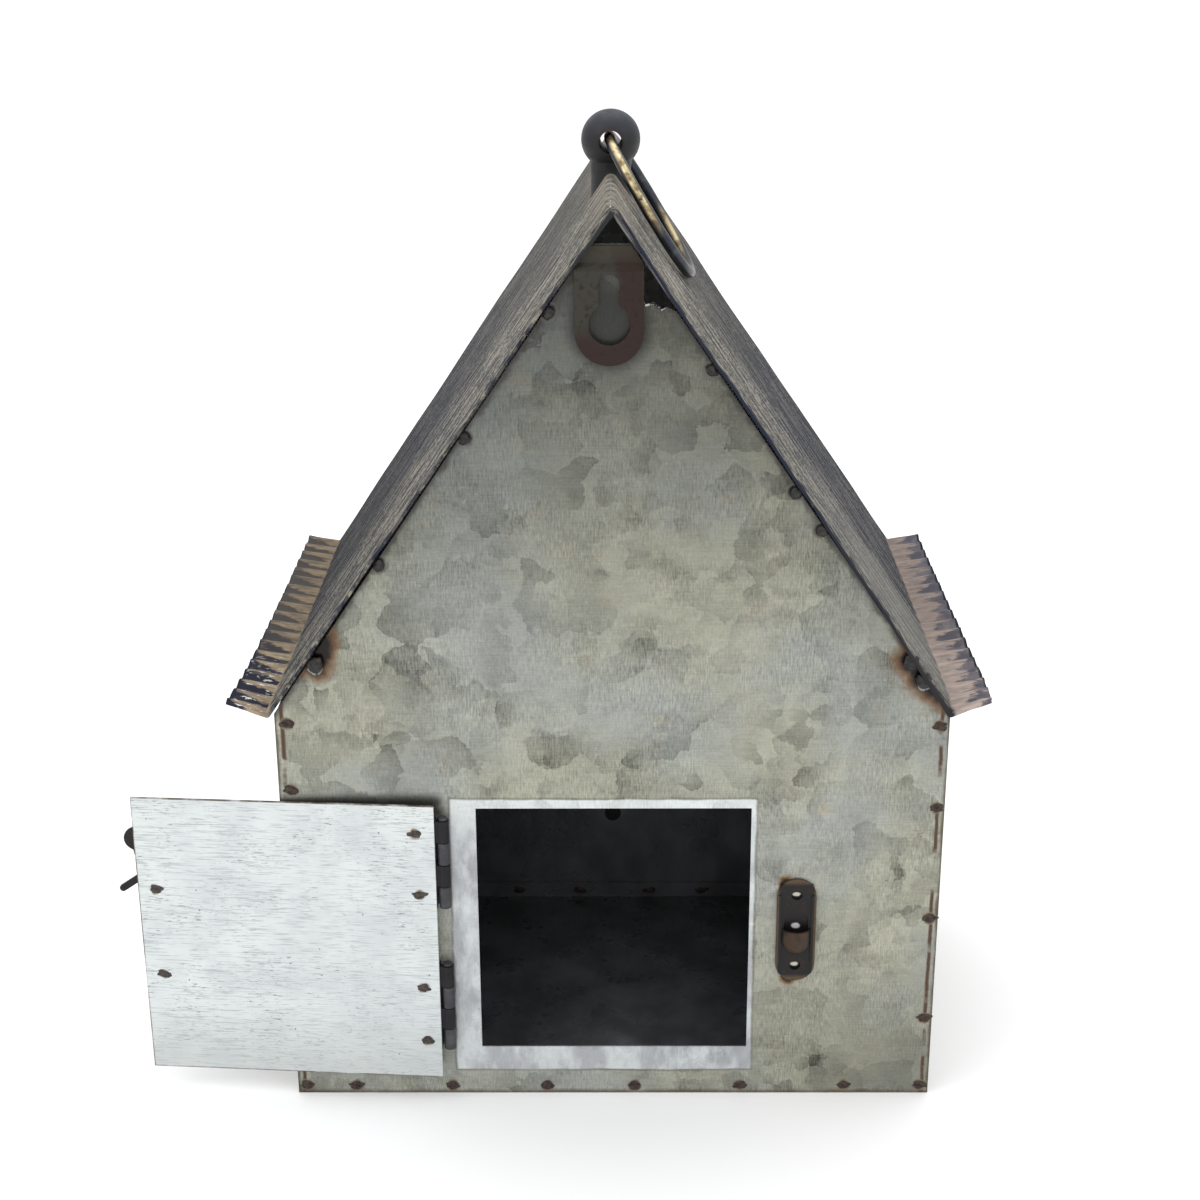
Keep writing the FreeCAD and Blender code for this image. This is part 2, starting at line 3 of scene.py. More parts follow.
import bmesh
import bpy
from mathutils import Matrix, Vector, noise


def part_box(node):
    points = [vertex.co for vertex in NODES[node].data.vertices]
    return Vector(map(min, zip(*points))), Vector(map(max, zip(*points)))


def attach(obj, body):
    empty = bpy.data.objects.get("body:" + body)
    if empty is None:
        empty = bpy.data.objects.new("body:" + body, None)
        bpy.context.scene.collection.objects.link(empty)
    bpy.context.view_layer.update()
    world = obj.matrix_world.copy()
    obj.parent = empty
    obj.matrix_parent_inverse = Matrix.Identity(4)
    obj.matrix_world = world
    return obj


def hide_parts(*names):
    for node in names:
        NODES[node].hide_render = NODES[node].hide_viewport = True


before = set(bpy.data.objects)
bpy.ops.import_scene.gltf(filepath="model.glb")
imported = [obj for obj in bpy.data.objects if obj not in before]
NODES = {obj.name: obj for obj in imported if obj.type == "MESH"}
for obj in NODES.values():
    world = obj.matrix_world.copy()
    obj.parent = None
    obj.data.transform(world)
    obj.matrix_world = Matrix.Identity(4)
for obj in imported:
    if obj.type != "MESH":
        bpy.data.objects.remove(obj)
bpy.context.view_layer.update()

MM = 0.001

# Roof, as in the frame: one corrugated sheet over the ridge, flared along both eaves
RIDGE_Z = 299.6 * MM
FOLD_X = 108.0 * MM
FOLD_Z = 141.0 * MM
FLARE_WIDTH = 12.7 * MM
FLARE_ANGLE = radians(11.5)
ROOF_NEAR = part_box("roof_sheet")[0].y
ROOF_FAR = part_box("roof_sheet")[1].y
HALF_WAVES = 37
HALF_WAVE = (ROOF_FAR - ROOF_NEAR) / HALF_WAVES
WAVE_HEIGHT = 1.3 * MM
SHEET = 0.8 * MM
SLOPE = atan2(RIDGE_Z - FOLD_Z, FOLD_X)
RIDGE_BEND = 1.1 * MM         # radius of the sheet's middle at the ridge
FOLD_BEND = 1.3 * MM

# Walls
WALL_LOW, WALL_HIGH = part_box("rear_wall")
WALL_X = WALL_HIGH.x
WALL_FACE = WALL_LOW.y        # outer face of the rear wall
DOOR_LOW, DOOR_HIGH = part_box("door_panel")
DOORWAY_TOP = 107.2 * MM
FOOTPRINT_X = (-52.5 * MM, 46.5 * MM)     # clean zinc that the closed door covers
FOOTPRINT_Z = (DOOR_LOW.z, DOOR_HIGH.z)

KEEPER_LOW, KEEPER_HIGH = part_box("keeper_plate")
KEEPER_X = (KEEPER_LOW.x + KEEPER_HIGH.x) / 2
KEEPER_Z = (KEEPER_LOW.z + KEEPER_HIGH.z) / 2
SCREW_HOLE_RISE = 13.0 * MM   # of each screw hole from the keeper's middle
WINDOW_Z = KEEPER_Z + 1.8 * MM

# Finial and ring
BALL_CENTRE = Vector((0, 4.0, 309.8)) * MM
BALL_RADIUS = 9.525 * MM
HOLE_RADIUS = 3.5 * MM
NECK_TOP_Z = 303.6 * MM
RING_RADIUS = 25.4 * MM
WIRE_RADIUS = 1.8 * MM
RING_SET_BACK = 0.8 * MM
RING_REST_GAP = 0.3 * MM

# Studio: colours below are given as they look in this light
LIGHT_LEVEL = 1.28
CAMERA_PLACE = (0.00136, -0.6447, 0.3905)
CAMERA_TURN = (0.487, 69.81, -0.277)      # degrees about Z, then X, then Z
CAMERA_LENS = 59.44
FLOOR_SIZE = 24.0
FLOOR_TONES = ((0.93, 0.935, 0.94, 1), (0.94, 0.945, 0.95, 1))


def shade(red, green, blue):
    """Surface colour that looks like this 0-255 colour in the studio light."""
    linear = []
    for value in (red, green, blue):
        part = value / 255
        part = part / 12.92 if part <= 0.04045 else ((part + 0.055) / 1.055) ** 2.4
        linear.append(part / LIGHT_LEVEL)
    return (*linear, 1.0)


class Paint:
    """One procedural material. Its methods add nodes, and most return the socket with the result."""

    def __init__(self, name, metallic, roughness, specular=0.5):
        self.material = bpy.data.materials.new(name)
        self.material.use_nodes = True
        self.tree = self.material.node_tree
        self.shader = self.tree.nodes["Principled BSDF"]
        self.shader.inputs["Metallic"].default_value = metallic
        self.shader.inputs["Roughness"].default_value = roughness
        self.shader.inputs["Specular IOR Level"].default_value = specular
        self.place = self.node("TexCoord").outputs["Object"]
        self.color = None
        self.x, self.y, self.z = self.node("SeparateXYZ", Vector=self.place).outputs

    def feed(self, socket, value):
        """Link or set one input."""
        if isinstance(value, bpy.types.NodeSocket):
            self.tree.links.new(value, socket)
        else:
            socket.default_value = value

    def node(self, kind, **inputs):
        """Add a shader node and feed its named inputs."""
        node = self.tree.nodes.new("ShaderNode" + kind)
        for name, value in inputs.items():
            self.feed(node.inputs[name.replace("_", " ")], value)
        return node

    def arithmetic(self, kind, operation, values):
        """Add an arithmetic node and feed its inputs in order."""
        node = self.node(kind)
        node.operation = operation
        for socket, value in zip(node.inputs, values):
            self.feed(socket, value)
        return node

    def math(self, operation, *values):
        """Arithmetic on numbers."""
        return self.arithmetic("Math", operation, values).outputs[0]

    def times(self, one, two):
        """Product of two numbers."""
        return self.math("MULTIPLY", one, two)

    def line(self, value, slope, start):
        """A number times a slope, plus a start."""
        return self.math("MULTIPLY_ADD", value, slope, start)

    def plus(self, one, two):
        """Sum of two numbers."""
        return self.math("ADD", one, two)

    def minus(self, one, two):
        """Difference of two numbers."""
        return self.math("SUBTRACT", one, two)

    def vector(self, operation, *values):
        """Arithmetic on vectors."""
        node = self.arithmetic("VectorMath", operation, values)
        return node.outputs["Value"] if operation in ("DOT_PRODUCT", "DISTANCE") else node.outputs[0]

    def dim(self, color, factor):
        """Colour times a number."""
        node = self.arithmetic("VectorMath", "SCALE", [color])
        self.feed(node.inputs["Scale"], factor)
        return node.outputs[0]

    def step(self, value, low, high):
        """Smooth rise from 0 at low to 1 at high; low may be the larger."""
        node = self.node("MapRange", Value=value, From_Min=low, From_Max=high)
        node.interpolation_type = "SMOOTHSTEP"
        return node.outputs[0]

    def rise(self, value, low, high, start=0.0):
        """Step between two lengths, in millimetres from a starting value."""
        return self.step(value, start + low * MM, start + high * MM)

    def span(self, value, low, high, soft):
        """1 between two values, 0 outside, with soft ends."""
        rise = self.step(value, low - soft, low + soft)
        fall = self.step(value, high + soft, high - soft)
        return self.times(rise, fall)

    def chain(self, operation, values):
        """One number from several, taken in turn."""
        result = values[0]
        for value in values[1:]:
            result = self.math(operation, result, value)
        return result

    def all_of(self, *masks):
        """Product of masks."""
        return self.chain("MULTIPLY", masks)

    def any_of(self, *masks):
        """Largest of masks."""
        return self.chain("MAXIMUM", masks)

    def mix(self, factor, one, two):
        """Blend of two colours, each a socket or how it looks from 0 to 255."""
        node = self.node("Mix")
        node.data_type = "RGBA"
        self.feed(node.inputs[0], factor)
        for socket, value in ((node.inputs[6], one), (node.inputs[7], two)):
            self.feed(socket, shade(*value) if isinstance(value, tuple) and len(value) == 3 else value)
        return node.outputs[2]

    def prime(self, factor, one, two):
        """First coat: a blend of two colours."""
        self.color = self.mix(factor, one, two)

    def coat(self, mask, tint, strength=1.0):
        """Lay a colour over the paint so far, where the mask is."""
        cover = mask if strength == 1.0 else self.times(mask, strength)
        self.color = self.mix(cover, self.color, tint)

    def noise(self, size, detail=3.0, roughness=0.55, offset=0.0):
        """Noise from 0 to 1 with grains of a size in millimetres, the same or one for each axis."""
        sizes = size if isinstance(size, tuple) else (size, size, size)
        scaled = self.vector("DIVIDE", self.place, tuple(length * MM for length in sizes))
        moved = self.vector("ADD", scaled, (offset, offset, offset))
        node = self.node("TexNoise", Vector=moved, Scale=1.0, Detail=detail, Roughness=roughness)
        return node.outputs[0]

    def patches(self, low, high, *grains, **offset):
        """Mask of soft patches: a step of noise."""
        return self.step(self.noise(*grains, **offset), low, high)

    def specks(self, size, radius, share):
        """Sparse round dots: one in some cells of a size, both in millimetres."""
        node = self.node("TexVoronoi", Vector=self.place, Scale=1 / (size * MM))
        chosen = self.node("SeparateXYZ", Vector=node.outputs["Color"]).outputs
        near = self.step(node.outputs["Distance"], radius / size, 0.4 * radius / size)
        return self.times(near, self.step(chosen[0], 1 - share, 1 - share + 0.02))

    def flakes(self, size, ragged):
        """Zinc flakes, about -1 to 1: each has its own tone and fades in its own direction."""
        wobble = self.node("TexNoise", Vector=self.place, Scale=1.6 / size, Detail=4.0)
        centred = self.vector("SUBTRACT", wobble.outputs["Color"], (0.5, 0.5, 0.5))
        reach = ragged * size
        warped = self.vector("MULTIPLY_ADD", centred, (reach, reach, reach), self.place)
        cells = self.node("TexVoronoi", Vector=warped, Scale=1 / size)
        own = self.vector("SUBTRACT", cells.outputs["Color"], (0.5, 0.5, 0.5))
        offset = self.vector("SUBTRACT", warped, cells.outputs["Position"])
        lean = self.math("DIVIDE", self.vector("DOT_PRODUCT", offset, own), 0.5 * size)
        tone = self.node("SeparateXYZ", Vector=own).outputs[1]
        return self.plus(tone, lean)

    def nearest(self, places):
        """Distance to the closest of some points."""
        spans = [self.vector("DISTANCE", self.place, tuple(place)) for place in places]
        return self.chain("MINIMUM", spans)

    def bump(self, height, depth):
        """Add relief of a depth in millimetres to the surface."""
        before = self.shader.inputs["Normal"].links
        node = self.node("Bump", Height=height, Distance=depth * MM, Strength=1.0)
        if before:
            self.feed(node.inputs["Normal"], before[0].from_socket)
        self.feed(self.shader.inputs["Normal"], node.outputs[0])

    def finish(self, roughness=None):
        """Give the shader the colour so far and, where it varies, a roughness."""
        self.feed(self.shader.inputs["Base Color"], self.color)
        if roughness is not None:
            self.feed(self.shader.inputs["Roughness"], roughness)
        return self.material


def islands(node):
    """Separate solids of a CAD node, each as a list of corner points."""
    shape = bmesh.new()
    shape.from_mesh(NODES[node].data)
    bmesh.ops.remove_doubles(shape, verts=shape.verts, dist=0.001 * MM)
    left = set(shape.verts)
    found = []
    while left:
        group = [left.pop()]
        for corner in group:
            for edge in corner.link_edges:
                other = edge.other_vert(corner)
                if other in left:
                    left.remove(other)
                    group.append(other)
        found.append([corner.co.copy() for corner in group])
    shape.free()
    return sorted(found, key=lambda points: tuple(round(value, 5) for value in middle(points)))


def middle(points):
    """Centre of the box around some points."""
    low = Vector([min(point[axis] for point in points) for axis in range(3)])
    high = Vector([max(point[axis] for point in points) for axis in range(3)])
    return (low + high) / 2


def rear_facing(node):
    """Mean direction of the faces of a CAD node that look to the rear."""
    total = Vector()
    for face in NODES[node].data.polygons:
        if face.normal.y < -0.9:
            total += face.normal * face.area
    return total.normalized()


WALL_WELDS, ROOF_WELDS, DOOR_WELDS = (
    [middle(points) for points in islands(node)]
    for node in ("wall_spot_welds", "roof_tack_welds", "door_spot_welds")
)
EAVE_TOP = 170 * MM
EAVE_WELDS = [place for place in ROOF_WELDS if place.z < EAVE_TOP]
SLOPE_WELDS = [place for place in ROOF_WELDS if place.z >= EAVE_TOP]


# ---------------------------------------------------------------- materials

def roof_depth(paint):
    """Distance of a wall point in from the roof sheet's middle, square to the slope."""
    side = paint.times(paint.math("ABSOLUTE", paint.x), sin(SLOPE))
    below = paint.times(paint.minus(RIDGE_Z, paint.z), cos(SLOPE))
    return paint.minus(below, side)


def zinc_tone(paint):
    """Brightness of weathered zinc: dark flakes of two sizes, fine wrinkles and brush lines, about 1."""
    large = paint.math("MINIMUM", paint.flakes(15 * MM, 1.0), 0.12)
    small = paint.math("MINIMUM", paint.flakes(8 * MM, 0.9), 0.20)
    clouds = paint.minus(paint.noise(13, 4.0, 0.6, offset=11.0), 0.5)
    where = paint.patches(0.42, 0.62, 28, 2.0)
    wrinkles = paint.noise((0.50, 0.50, 3.2), 2.0, 0.6)
    wrinkle_room = paint.patches(0.25, 0.65, 24, offset=7.0)
    lines = paint.noise((10, 10, 0.5), 2.0, 0.5)
    grain = paint.noise(0.7, 2.0, 0.7)
    tone = paint.line(large, 0.32, 1.06)
    tone = paint.line(clouds, 0.45, tone)
    tone = paint.line(paint.times(small, where), 0.36, tone)
    fold = paint.times(paint.minus(wrinkles, 0.5), wrinkle_room)
    tone = paint.line(fold, 1.5, tone)
    tone = paint.line(paint.minus(lines, 0.5), 0.40, tone)
    tone = paint.line(paint.minus(grain, 0.5), 0.5, tone)
    paint.bump(fold, 0.10)
    paint.bump(paint.noise(45, 1.0), 0.8)
    return tone


def zinc_color(paint):
    """Hue of weathered zinc, from olive-khaki to cool grey."""
    cool = (152, 155, 149)
    khaki = (157, 157, 141)
    warm = (162, 158, 142)
    color = paint.mix(paint.patches(0.35, 0.65, 55), cool, khaki)
    return paint.mix(paint.patches(0.58, 0.78, 9, offset=3.0), color, warm)


def indoors(paint):
    """1 on the inner faces of the sheets."""
    inset = SHEET / 2
    soft = 0.02 * MM
    half_width, half_depth = WALL_X - inset, -WALL_FACE - inset
    across = paint.step(paint.math("ABSOLUTE", paint.x), half_width + soft, half_width - soft)
    along = paint.step(paint.math("ABSOLUTE", paint.y), half_depth + soft, half_depth - soft)
    above = paint.step(paint.z, inset - soft, inset + soft)
    return paint.all_of(across, along, above)


def painted_inside_shade(paint):
    """Painted shade on the inner faces of the sheets, faintly clouded, with painted light on them high up
    under the roof.
    """
    clouds = paint.noise((20, 20, 30))
    inner = paint.mix(paint.step(clouds, 0.35, 0.7), (84, 86, 89), (112, 114, 118))
    # Painted light high up inside, under the roof.
    inner = paint.mix(paint.rise(paint.z, 170, 230), inner, (205, 205, 204))
    paint.coat(indoors(paint), inner)


def rust_over(paint, mask, inner, outer):
    """Rust halo: dark brown where the mask is full, orange-brown towards its edge."""
    stain = paint.mix(paint.step(mask, 0.35, 0.8), outer, inner)
    paint.coat(paint.step(mask, 0.02, 0.45), stain)


def halo(paint, places, reach):
    """Mask that falls from 1 at some points to 0 at a ragged distance in millimetres."""
    spread = 0.45 * reach * MM
    ragged = paint.line(paint.noise(3.5, 4.0, 0.65), 2 * spread, -spread)
    distance = paint.plus(paint.nearest(places), ragged)
    return paint.rise(distance, reach, 0.25 * reach)


def sheet_paint():
    """Weathered galvanised sheet of the side walls, front wall and floor."""
    paint = Paint("galvanised_sheet", 0.25, 0.5)
    paint.color = paint.dim(zinc_color(paint), zinc_tone(paint))
    foot = paint.rise(paint.plus(paint.z, paint.noise(6)), 2.4, 1.0)
    paint.coat(foot, (84, 72, 58))
    rough = paint.patches(-0.2, 1.6, 15)
    painted_inside_shade(paint)
    return paint.finish(rough)


def rear_wall_paint():
    """Galvanised rear wall: painted shade darkening it towards the apex, clean under the door, burnt at the
    welds.
    """
    paint = Paint("galvanised_rear_wall", 0.2, 0.5, specular=0.3)
    tone = zinc_tone(paint)
    # Painted shade: the wall tone darkens towards the apex.
    painted_apex_shade = paint.rise(paint.line(paint.noise(35), 30 * MM, paint.z), 150, 312)
    corner = paint.all_of(paint.rise(paint.x, 30, 100), paint.rise(paint.z, 60, 5))
    tone = paint.times(tone, paint.line(painted_apex_shade, -0.80, 1.08))
    tone = paint.times(tone, paint.line(corner, -0.34, 1.0))
    paint.color = paint.dim(zinc_color(paint), tone)
    clean_patch(paint, tone)
    wall_grime(paint)
    wall_burns(paint)
    rough = paint.patches(-0.2, 1.6, 15)
    painted_inside_shade(paint)
    return paint.finish(rough)


def clean_patch(paint, tone):
    """Bright zinc where the closed door covers the wall, outlined by a thin dark line."""
    wave = paint.line(paint.noise(12), 1.2 * MM, -0.6 * MM)
    x = paint.plus(paint.x, wave)
    z = paint.plus(paint.z, wave)
    inside = paint.all_of(paint.span(x, *FOOTPRINT_X, 0.5 * MM), paint.span(z, *FOOTPRINT_Z, 0.4 * MM))
    clouds = paint.noise((7, 20, 16), 4.0, 0.6)
    bright = paint.mix(paint.step(clouds, 0.35, 0.65), (176, 178, 182), (214, 219, 220))
    high = paint.rise(paint.z, -12, 0, DOORWAY_TOP)
    bright = paint.mix(paint.times(high, 0.8), bright, (226, 231, 230))
    bright = paint.dim(bright, paint.line(tone, 0.35, 0.65))
    paint.coat(inside, bright)
    rim = paint.all_of(
        paint.span(x, FOOTPRINT_X[0] - 0.6 * MM, FOOTPRINT_X[1] + 0.6 * MM, 0.4 * MM),
        paint.span(z, FOOTPRINT_Z[0] - 0.6 * MM, FOOTPRINT_Z[1] + 0.6 * MM, 0.4 * MM),
    )
    line = paint.times(paint.minus(rim, inside), paint.noise(18))
    paint.coat(line, (84, 80, 72))


def wall_grime(paint):
    """Brown dirt along the foot and the corners, a darker band along the roof seam, and painted shadow over
    the door's top edge.
    """
    foot = paint.rise(paint.line(paint.noise(9), 2.5 * MM, paint.z), 3.2, 1.2)
    corner = paint.math("ABSOLUTE", paint.x)
    ragged = paint.line(paint.noise((6, 6, 14)), 2.6 * MM, corner)
    edge = paint.rise(ragged, 0.2, 1.2, WALL_X)
    seam_noise = paint.line(paint.noise(4), 4 * MM, -2 * MM)
    seam = paint.rise(paint.plus(roof_depth(paint), seam_noise), 3.2, 1.2)
    paint.coat(paint.any_of(foot, edge), (86, 72, 54), 0.85)
    # Darker band on the wall just under the roof edge.
    paint.coat(seam, (62, 60, 56), 0.8)
    # Painted shadow of the open door on the wall, just above the door's top edge.
    painted_door_shadow = paint.all_of(
        paint.span(paint.z, DOOR_HIGH.z - 6 * MM, DOOR_HIGH.z + 1.2 * MM, 2.2 * MM),
        paint.rise(paint.x, -0.5, -4, FOOTPRINT_X[0]),
    )
    paint.coat(painted_door_shadow, (38, 36, 34), 0.9)
    wander = paint.line(paint.noise((5, 5, 12)), 1.6 * MM, corner)
    fold = paint.span(wander, WALL_X - 2.1 * MM, WALL_X - 0.9 * MM, 0.3 * MM)
    broken = paint.patches(0.40, 0.50, (30, 30, 14), 3.0, 0.6, offset=8.0)
    paint.coat(paint.all_of(fold, broken), (88, 66, 52))
    # Darker at the low left corner of the wall.
    darker_low_left = paint.all_of(
        paint.rise(paint.x, -90, -104),
        paint.rise(paint.line(paint.noise(6), 14 * MM, paint.z), 20, 8),
    )
    paint.coat(darker_low_left, (66, 58, 48), 0.7)


def wall_burns(paint):
    """Heat and rust stains around the welds, the keeper and the torn shoulder, and painted shade on the
    wall around the hanger tab.
    """
    spots = halo(paint, WALL_WELDS, 2.9)
    rust_over(paint, spots, (66, 52, 44), (128, 112, 92))
    seams = halo(paint, SLOPE_WELDS, 4.0)
    rust_over(paint, seams, (46, 46, 46), (108, 104, 96))
    eave_burns(paint)
    keeper_marks(paint)
    # Painted shade on the wall around and behind the hanger tab.
    tab = paint.vector("DISTANCE", paint.place, (0, WALL_FACE, 264 * MM))
    paint.coat(paint.rise(tab, 15, 9), (42, 43, 42), 0.8)
    dull = paint.all_of(paint.rise(paint.z, 255, 285), paint.patches(0.3, 0.7, 6))
    paint.coat(dull, (70, 66, 58), 0.6)


def keeper_marks(paint):
    """Heat stain at two corners of the keeper, its dark bed, and bare metal seen through its holes."""
    top = (KEEPER_LOW.x + 3.2 * MM, WALL_FACE, KEEPER_HIGH.z - 2.4 * MM)
    foot = (KEEPER_LOW.x + 4.4 * MM, WALL_FACE, KEEPER_LOW.z + 0.8 * MM)
    rim = halo(paint, [top, foot], 4.2)
    paint.coat(paint.step(rim, 0.0, 0.5), (150, 128, 96))
    paint.coat(paint.step(rim, 0.35, 0.95), (66, 48, 34))
    bed = paint.all_of(
        paint.span(paint.x, KEEPER_LOW.x + 1 * MM, KEEPER_HIGH.x - 1 * MM, 0.5 * MM),
        paint.span(paint.z, KEEPER_LOW.z + 2 * MM, KEEPER_HIGH.z - 2 * MM, 0.5 * MM),
    )
    paint.coat(bed, (34, 31, 30))
    for rise in (SCREW_HOLE_RISE, -SCREW_HOLE_RISE):
        spot = bare_spot(paint, KEEPER_X - 0.1 * MM, KEEPER_Z + rise - 0.1 * MM, 1.5 * MM, 0.85 * MM)
        paint.coat(spot, (226, 220, 202))
    spot = bare_spot(paint, KEEPER_X - 0.1 * MM, WINDOW_Z - 0.5 * MM, 1.6 * MM, 1.2 * MM)
    paint.coat(spot, (232, 232, 234))


def bare_spot(paint, x, z, half_width, half_height):
    """Soft ragged oval on the rear wall."""
    across = paint.math("DIVIDE", paint.minus(paint.x, x), half_width)
    up = paint.math("DIVIDE", paint.minus(paint.z, z), half_height)
    offset = paint.node("CombineXYZ", X=across, Y=up).outputs[0]
    distance = paint.vector("DISTANCE", offset, (0, 0, 0))
    return paint.step(paint.line(paint.noise(1.2), 0.5, distance), 1.35, 0.85)


def eave_burns(paint):
    """Burn along the roof at the eave welds: a faint orange-brown fringe around a black-brown heart."""
    reach = paint.line(paint.noise(4, 3.0, 0.6), 4.0 * MM, -2.0 * MM)
    distance = paint.plus(paint.nearest(burn_line()), reach)
    fringe = paint.rise(distance, 8.0, 4.4)
    tint = paint.mix(paint.patches(0.35, 0.65, 3), (118, 92, 60), (116, 68, 28))
    paint.coat(fringe, tint, 0.85)
    heart = paint.rise(distance, 5.4, 2.6)
    paint.coat(heart, (16, 12, 10), 0.98)


def burn_line():
    """Points along the roof's edge through the eave welds."""
    points = []
    for weld in EAVE_WELDS:
        hand = copysign(1, weld.x)
        along = Vector((-hand * cos(SLOPE), 0, sin(SLOPE)))
        roofward = Vector((hand * sin(SLOPE), 0, cos(SLOPE)))
        lengths = (0, 4, 7) if weld.x < 0 else (-8, -4, 0)
        points += [weld + (along * length + roofward * 0.35 * abs(length)) * MM for length in lengths]
    return points


def door_paint():
    """Bright zinc of the door, with fine level scratches and small flecks."""
    paint = Paint("bright_zinc", 0.1, 0.5, specular=0.3)
    scratches = paint.noise((8, 8, 0.40), 3.0, 0.6)
    dashes = paint.noise((3, 3, 0.34), 2.0, 0.7, offset=5.0)
    clouds = paint.noise(16, 4.0, 0.6)
    paint.prime(paint.step(clouds, 0.35, 0.7), (233, 239, 237), (220, 225, 226))
    paint.coat(paint.step(scratches, 0.50, 0.68), (190, 197, 200))
    marks = paint.all_of(paint.step(dashes, 0.60, 0.68), paint.patches(0.38, 0.56, 16, offset=9.0))
    paint.coat(marks, (112, 112, 112), 0.85)
    low = paint.rise(paint.z, 30, 0, DOOR_LOW.z)
    paint.coat(low, (190, 194, 193), 0.5)
    flecks = paint.any_of(paint.specks(14, 0.8, 0.4), paint.specks(5, 0.4, 0.35))
    paint.coat(flecks, (72, 66, 60), 0.85)
    heat = halo(paint, DOOR_WELDS, 2.7)
    paint.coat(paint.step(heat, 0.1, 0.7), (150, 130, 110))
    paint.coat(paint.step(heat, 0.6, 0.95), (60, 52, 46))
    rim = paint.any_of(
        paint.rise(paint.z, -0.5, -0.15, DOOR_HIGH.z),
        paint.rise(paint.z, 0.5, 0.15, DOOR_LOW.z),
        paint.rise(paint.x, 0.5, 0.15, DOOR_LOW.x),
    )
    paint.coat(paint.times(rim, paint.patches(0.2, 0.6, 7)), (92, 76, 64))
    paint.bump(scratches, 0.03)
    paint.bump(paint.noise(35, 1.0), 0.5)
    return paint.finish()


def roof_wave(paint):
    """Corrugation of the roof at a point, 1 on a crest and 0 in a trough."""
    turn = paint.times(paint.minus(paint.y, ROOF_NEAR), pi / HALF_WAVE)
    return paint.line(paint.math("SINE", turn), 0.5, 0.5)


def slope_color(paint, wave):
    """Slate paint brushed down the slope: streaked pale on the near half, darker and finer behind."""
    streaks = paint.noise((14, 0.7, 20), 4.0, 0.7)
    broad = paint.noise((40, 7, 60))
    grit = paint.noise(1.2, 3.0, 0.75)
    drift = paint.line(broad, 30 * MM, paint.y)
    behind = paint.rise(drift, -18, 40)
    paint.prime(paint.step(broad, 0.35, 0.65), (70, 72, 78), (88, 86, 84))
    paint.coat(behind, (62, 64, 71))
    paint.coat(paint.rise(paint.z, 210, 290), (92, 91, 88))
    worn = paint.line(wave, 0.14, paint.line(grit, 0.55, streaks))
    pale = paint.times(paint.step(worn, 0.84, 1.00), paint.line(behind, -0.65, 1.0))
    paint.coat(pale, (156, 152, 142))
    paint.coat(paint.step(worn, 0.76, 0.58), (48, 50, 58))
    # Painted light on the lower right slope.
    low_right = paint.all_of(paint.rise(paint.x, 50, 95), paint.step(behind, 0.8, 0.2))
    paint.coat(low_right, (128, 127, 122), 0.6)
    # Painted shade on the lower left slope.
    low_left = paint.rise(paint.x, -45, -95)
    paint.color = paint.dim(paint.color, paint.line(low_left, -0.34, 1.0))
    crown = paint.all_of(paint.rise(paint.z, -14, -2, RIDGE_Z), paint.step(wave, 0.35, 0.85))
    paint.coat(crown, (152, 142, 128), 0.5)
    near = paint.rise(paint.y, 3.6, 2.0, ROOF_NEAR)
    dashes = paint.noise((4, 0.6, 6), 3.0, 0.7, offset=4.0)
    strip = paint.mix(paint.step(dashes, 0.42, 0.52), (150, 146, 132), (80, 78, 76))
    strip = paint.mix(paint.step(dashes, 0.52, 0.62), strip, (44, 46, 54))
    paint.coat(near, strip)
    lip = paint.rise(paint.y, 0.7, 0.2, ROOF_NEAR)
    broken = paint.patches(0.40, 0.52, 5, 3.0, 0.6, offset=1.0)
    depth = paint.any_of(paint.times(broken, 0.7), paint.rise(paint.x, 0, 4))
    paint.coat(paint.times(lip, depth), (42, 46, 62))
    return paint.color


def flare_color(paint, wave):
    """Tan flare of the eaves under dark paint: striped at the left, blotched at the right."""
    side = paint.minus(paint.math("ABSOLUTE", paint.x), FOLD_X)
    out = paint.math("DIVIDE", side, FLARE_WIDTH * cos(FLARE_ANGLE))
    ragged = paint.noise((7, 1.8, 7), 4.0, 0.7)
    blotches = paint.noise(7, 3.0, 0.6, offset=2.5)
    right = paint.rise(paint.x, -1, 1)
    trough = paint.minus(1.0, wave)
    left_reach = paint.line(trough, 0.50, paint.times(out, 0.50))
    right_reach = paint.line(trough, 0.22, paint.times(out, 0.62))
    lean = paint.times(right, paint.minus(right_reach, left_reach))
    reach = paint.plus(left_reach, lean)
    reach = paint.line(ragged, 0.75, reach)
    reach = paint.line(blotches, 0.55, reach)
    left_tan = paint.mix(paint.step(ragged, 0.4, 0.6), (172, 154, 128), (138, 126, 112))
    right_tan = paint.mix(paint.step(ragged, 0.4, 0.6), (186, 168, 158), (164, 152, 146))
    bare = paint.mix(right, left_tan, right_tan)
    bare = paint.dim(bare, paint.line(paint.noise((7, 1.0, 7)), 0.8, 0.6))
    far = paint.rise(paint.y, 20, 90, ROOF_NEAR)
    bare = paint.dim(bare, paint.line(far, -0.30, 1.0))
    navy = paint.mix(far, (46, 47, 62), (84, 80, 78))
    navy = paint.mix(right, navy, paint.mix(paint.step(blotches, 0.4, 0.6), (116, 112, 118), (92, 90, 98)))
    paint.prime(paint.step(reach, 1.06, 1.22), bare, navy)
    glints = paint.all_of(
        paint.patches(0.58, 0.64, (3.2, 1.2, 3.2), 3.0, 0.7, offset=2.0),
        paint.rise(paint.y, 64, 10, ROOF_NEAR),
        paint.rise(paint.x, 0, -1),
        paint.step(out, 0.0, 0.15),
    )
    paint.coat(glints, (242, 238, 232))
    edge = paint.step(out, 0.94, 0.99)
    paint.coat(edge, (40, 42, 52))
    return paint.color


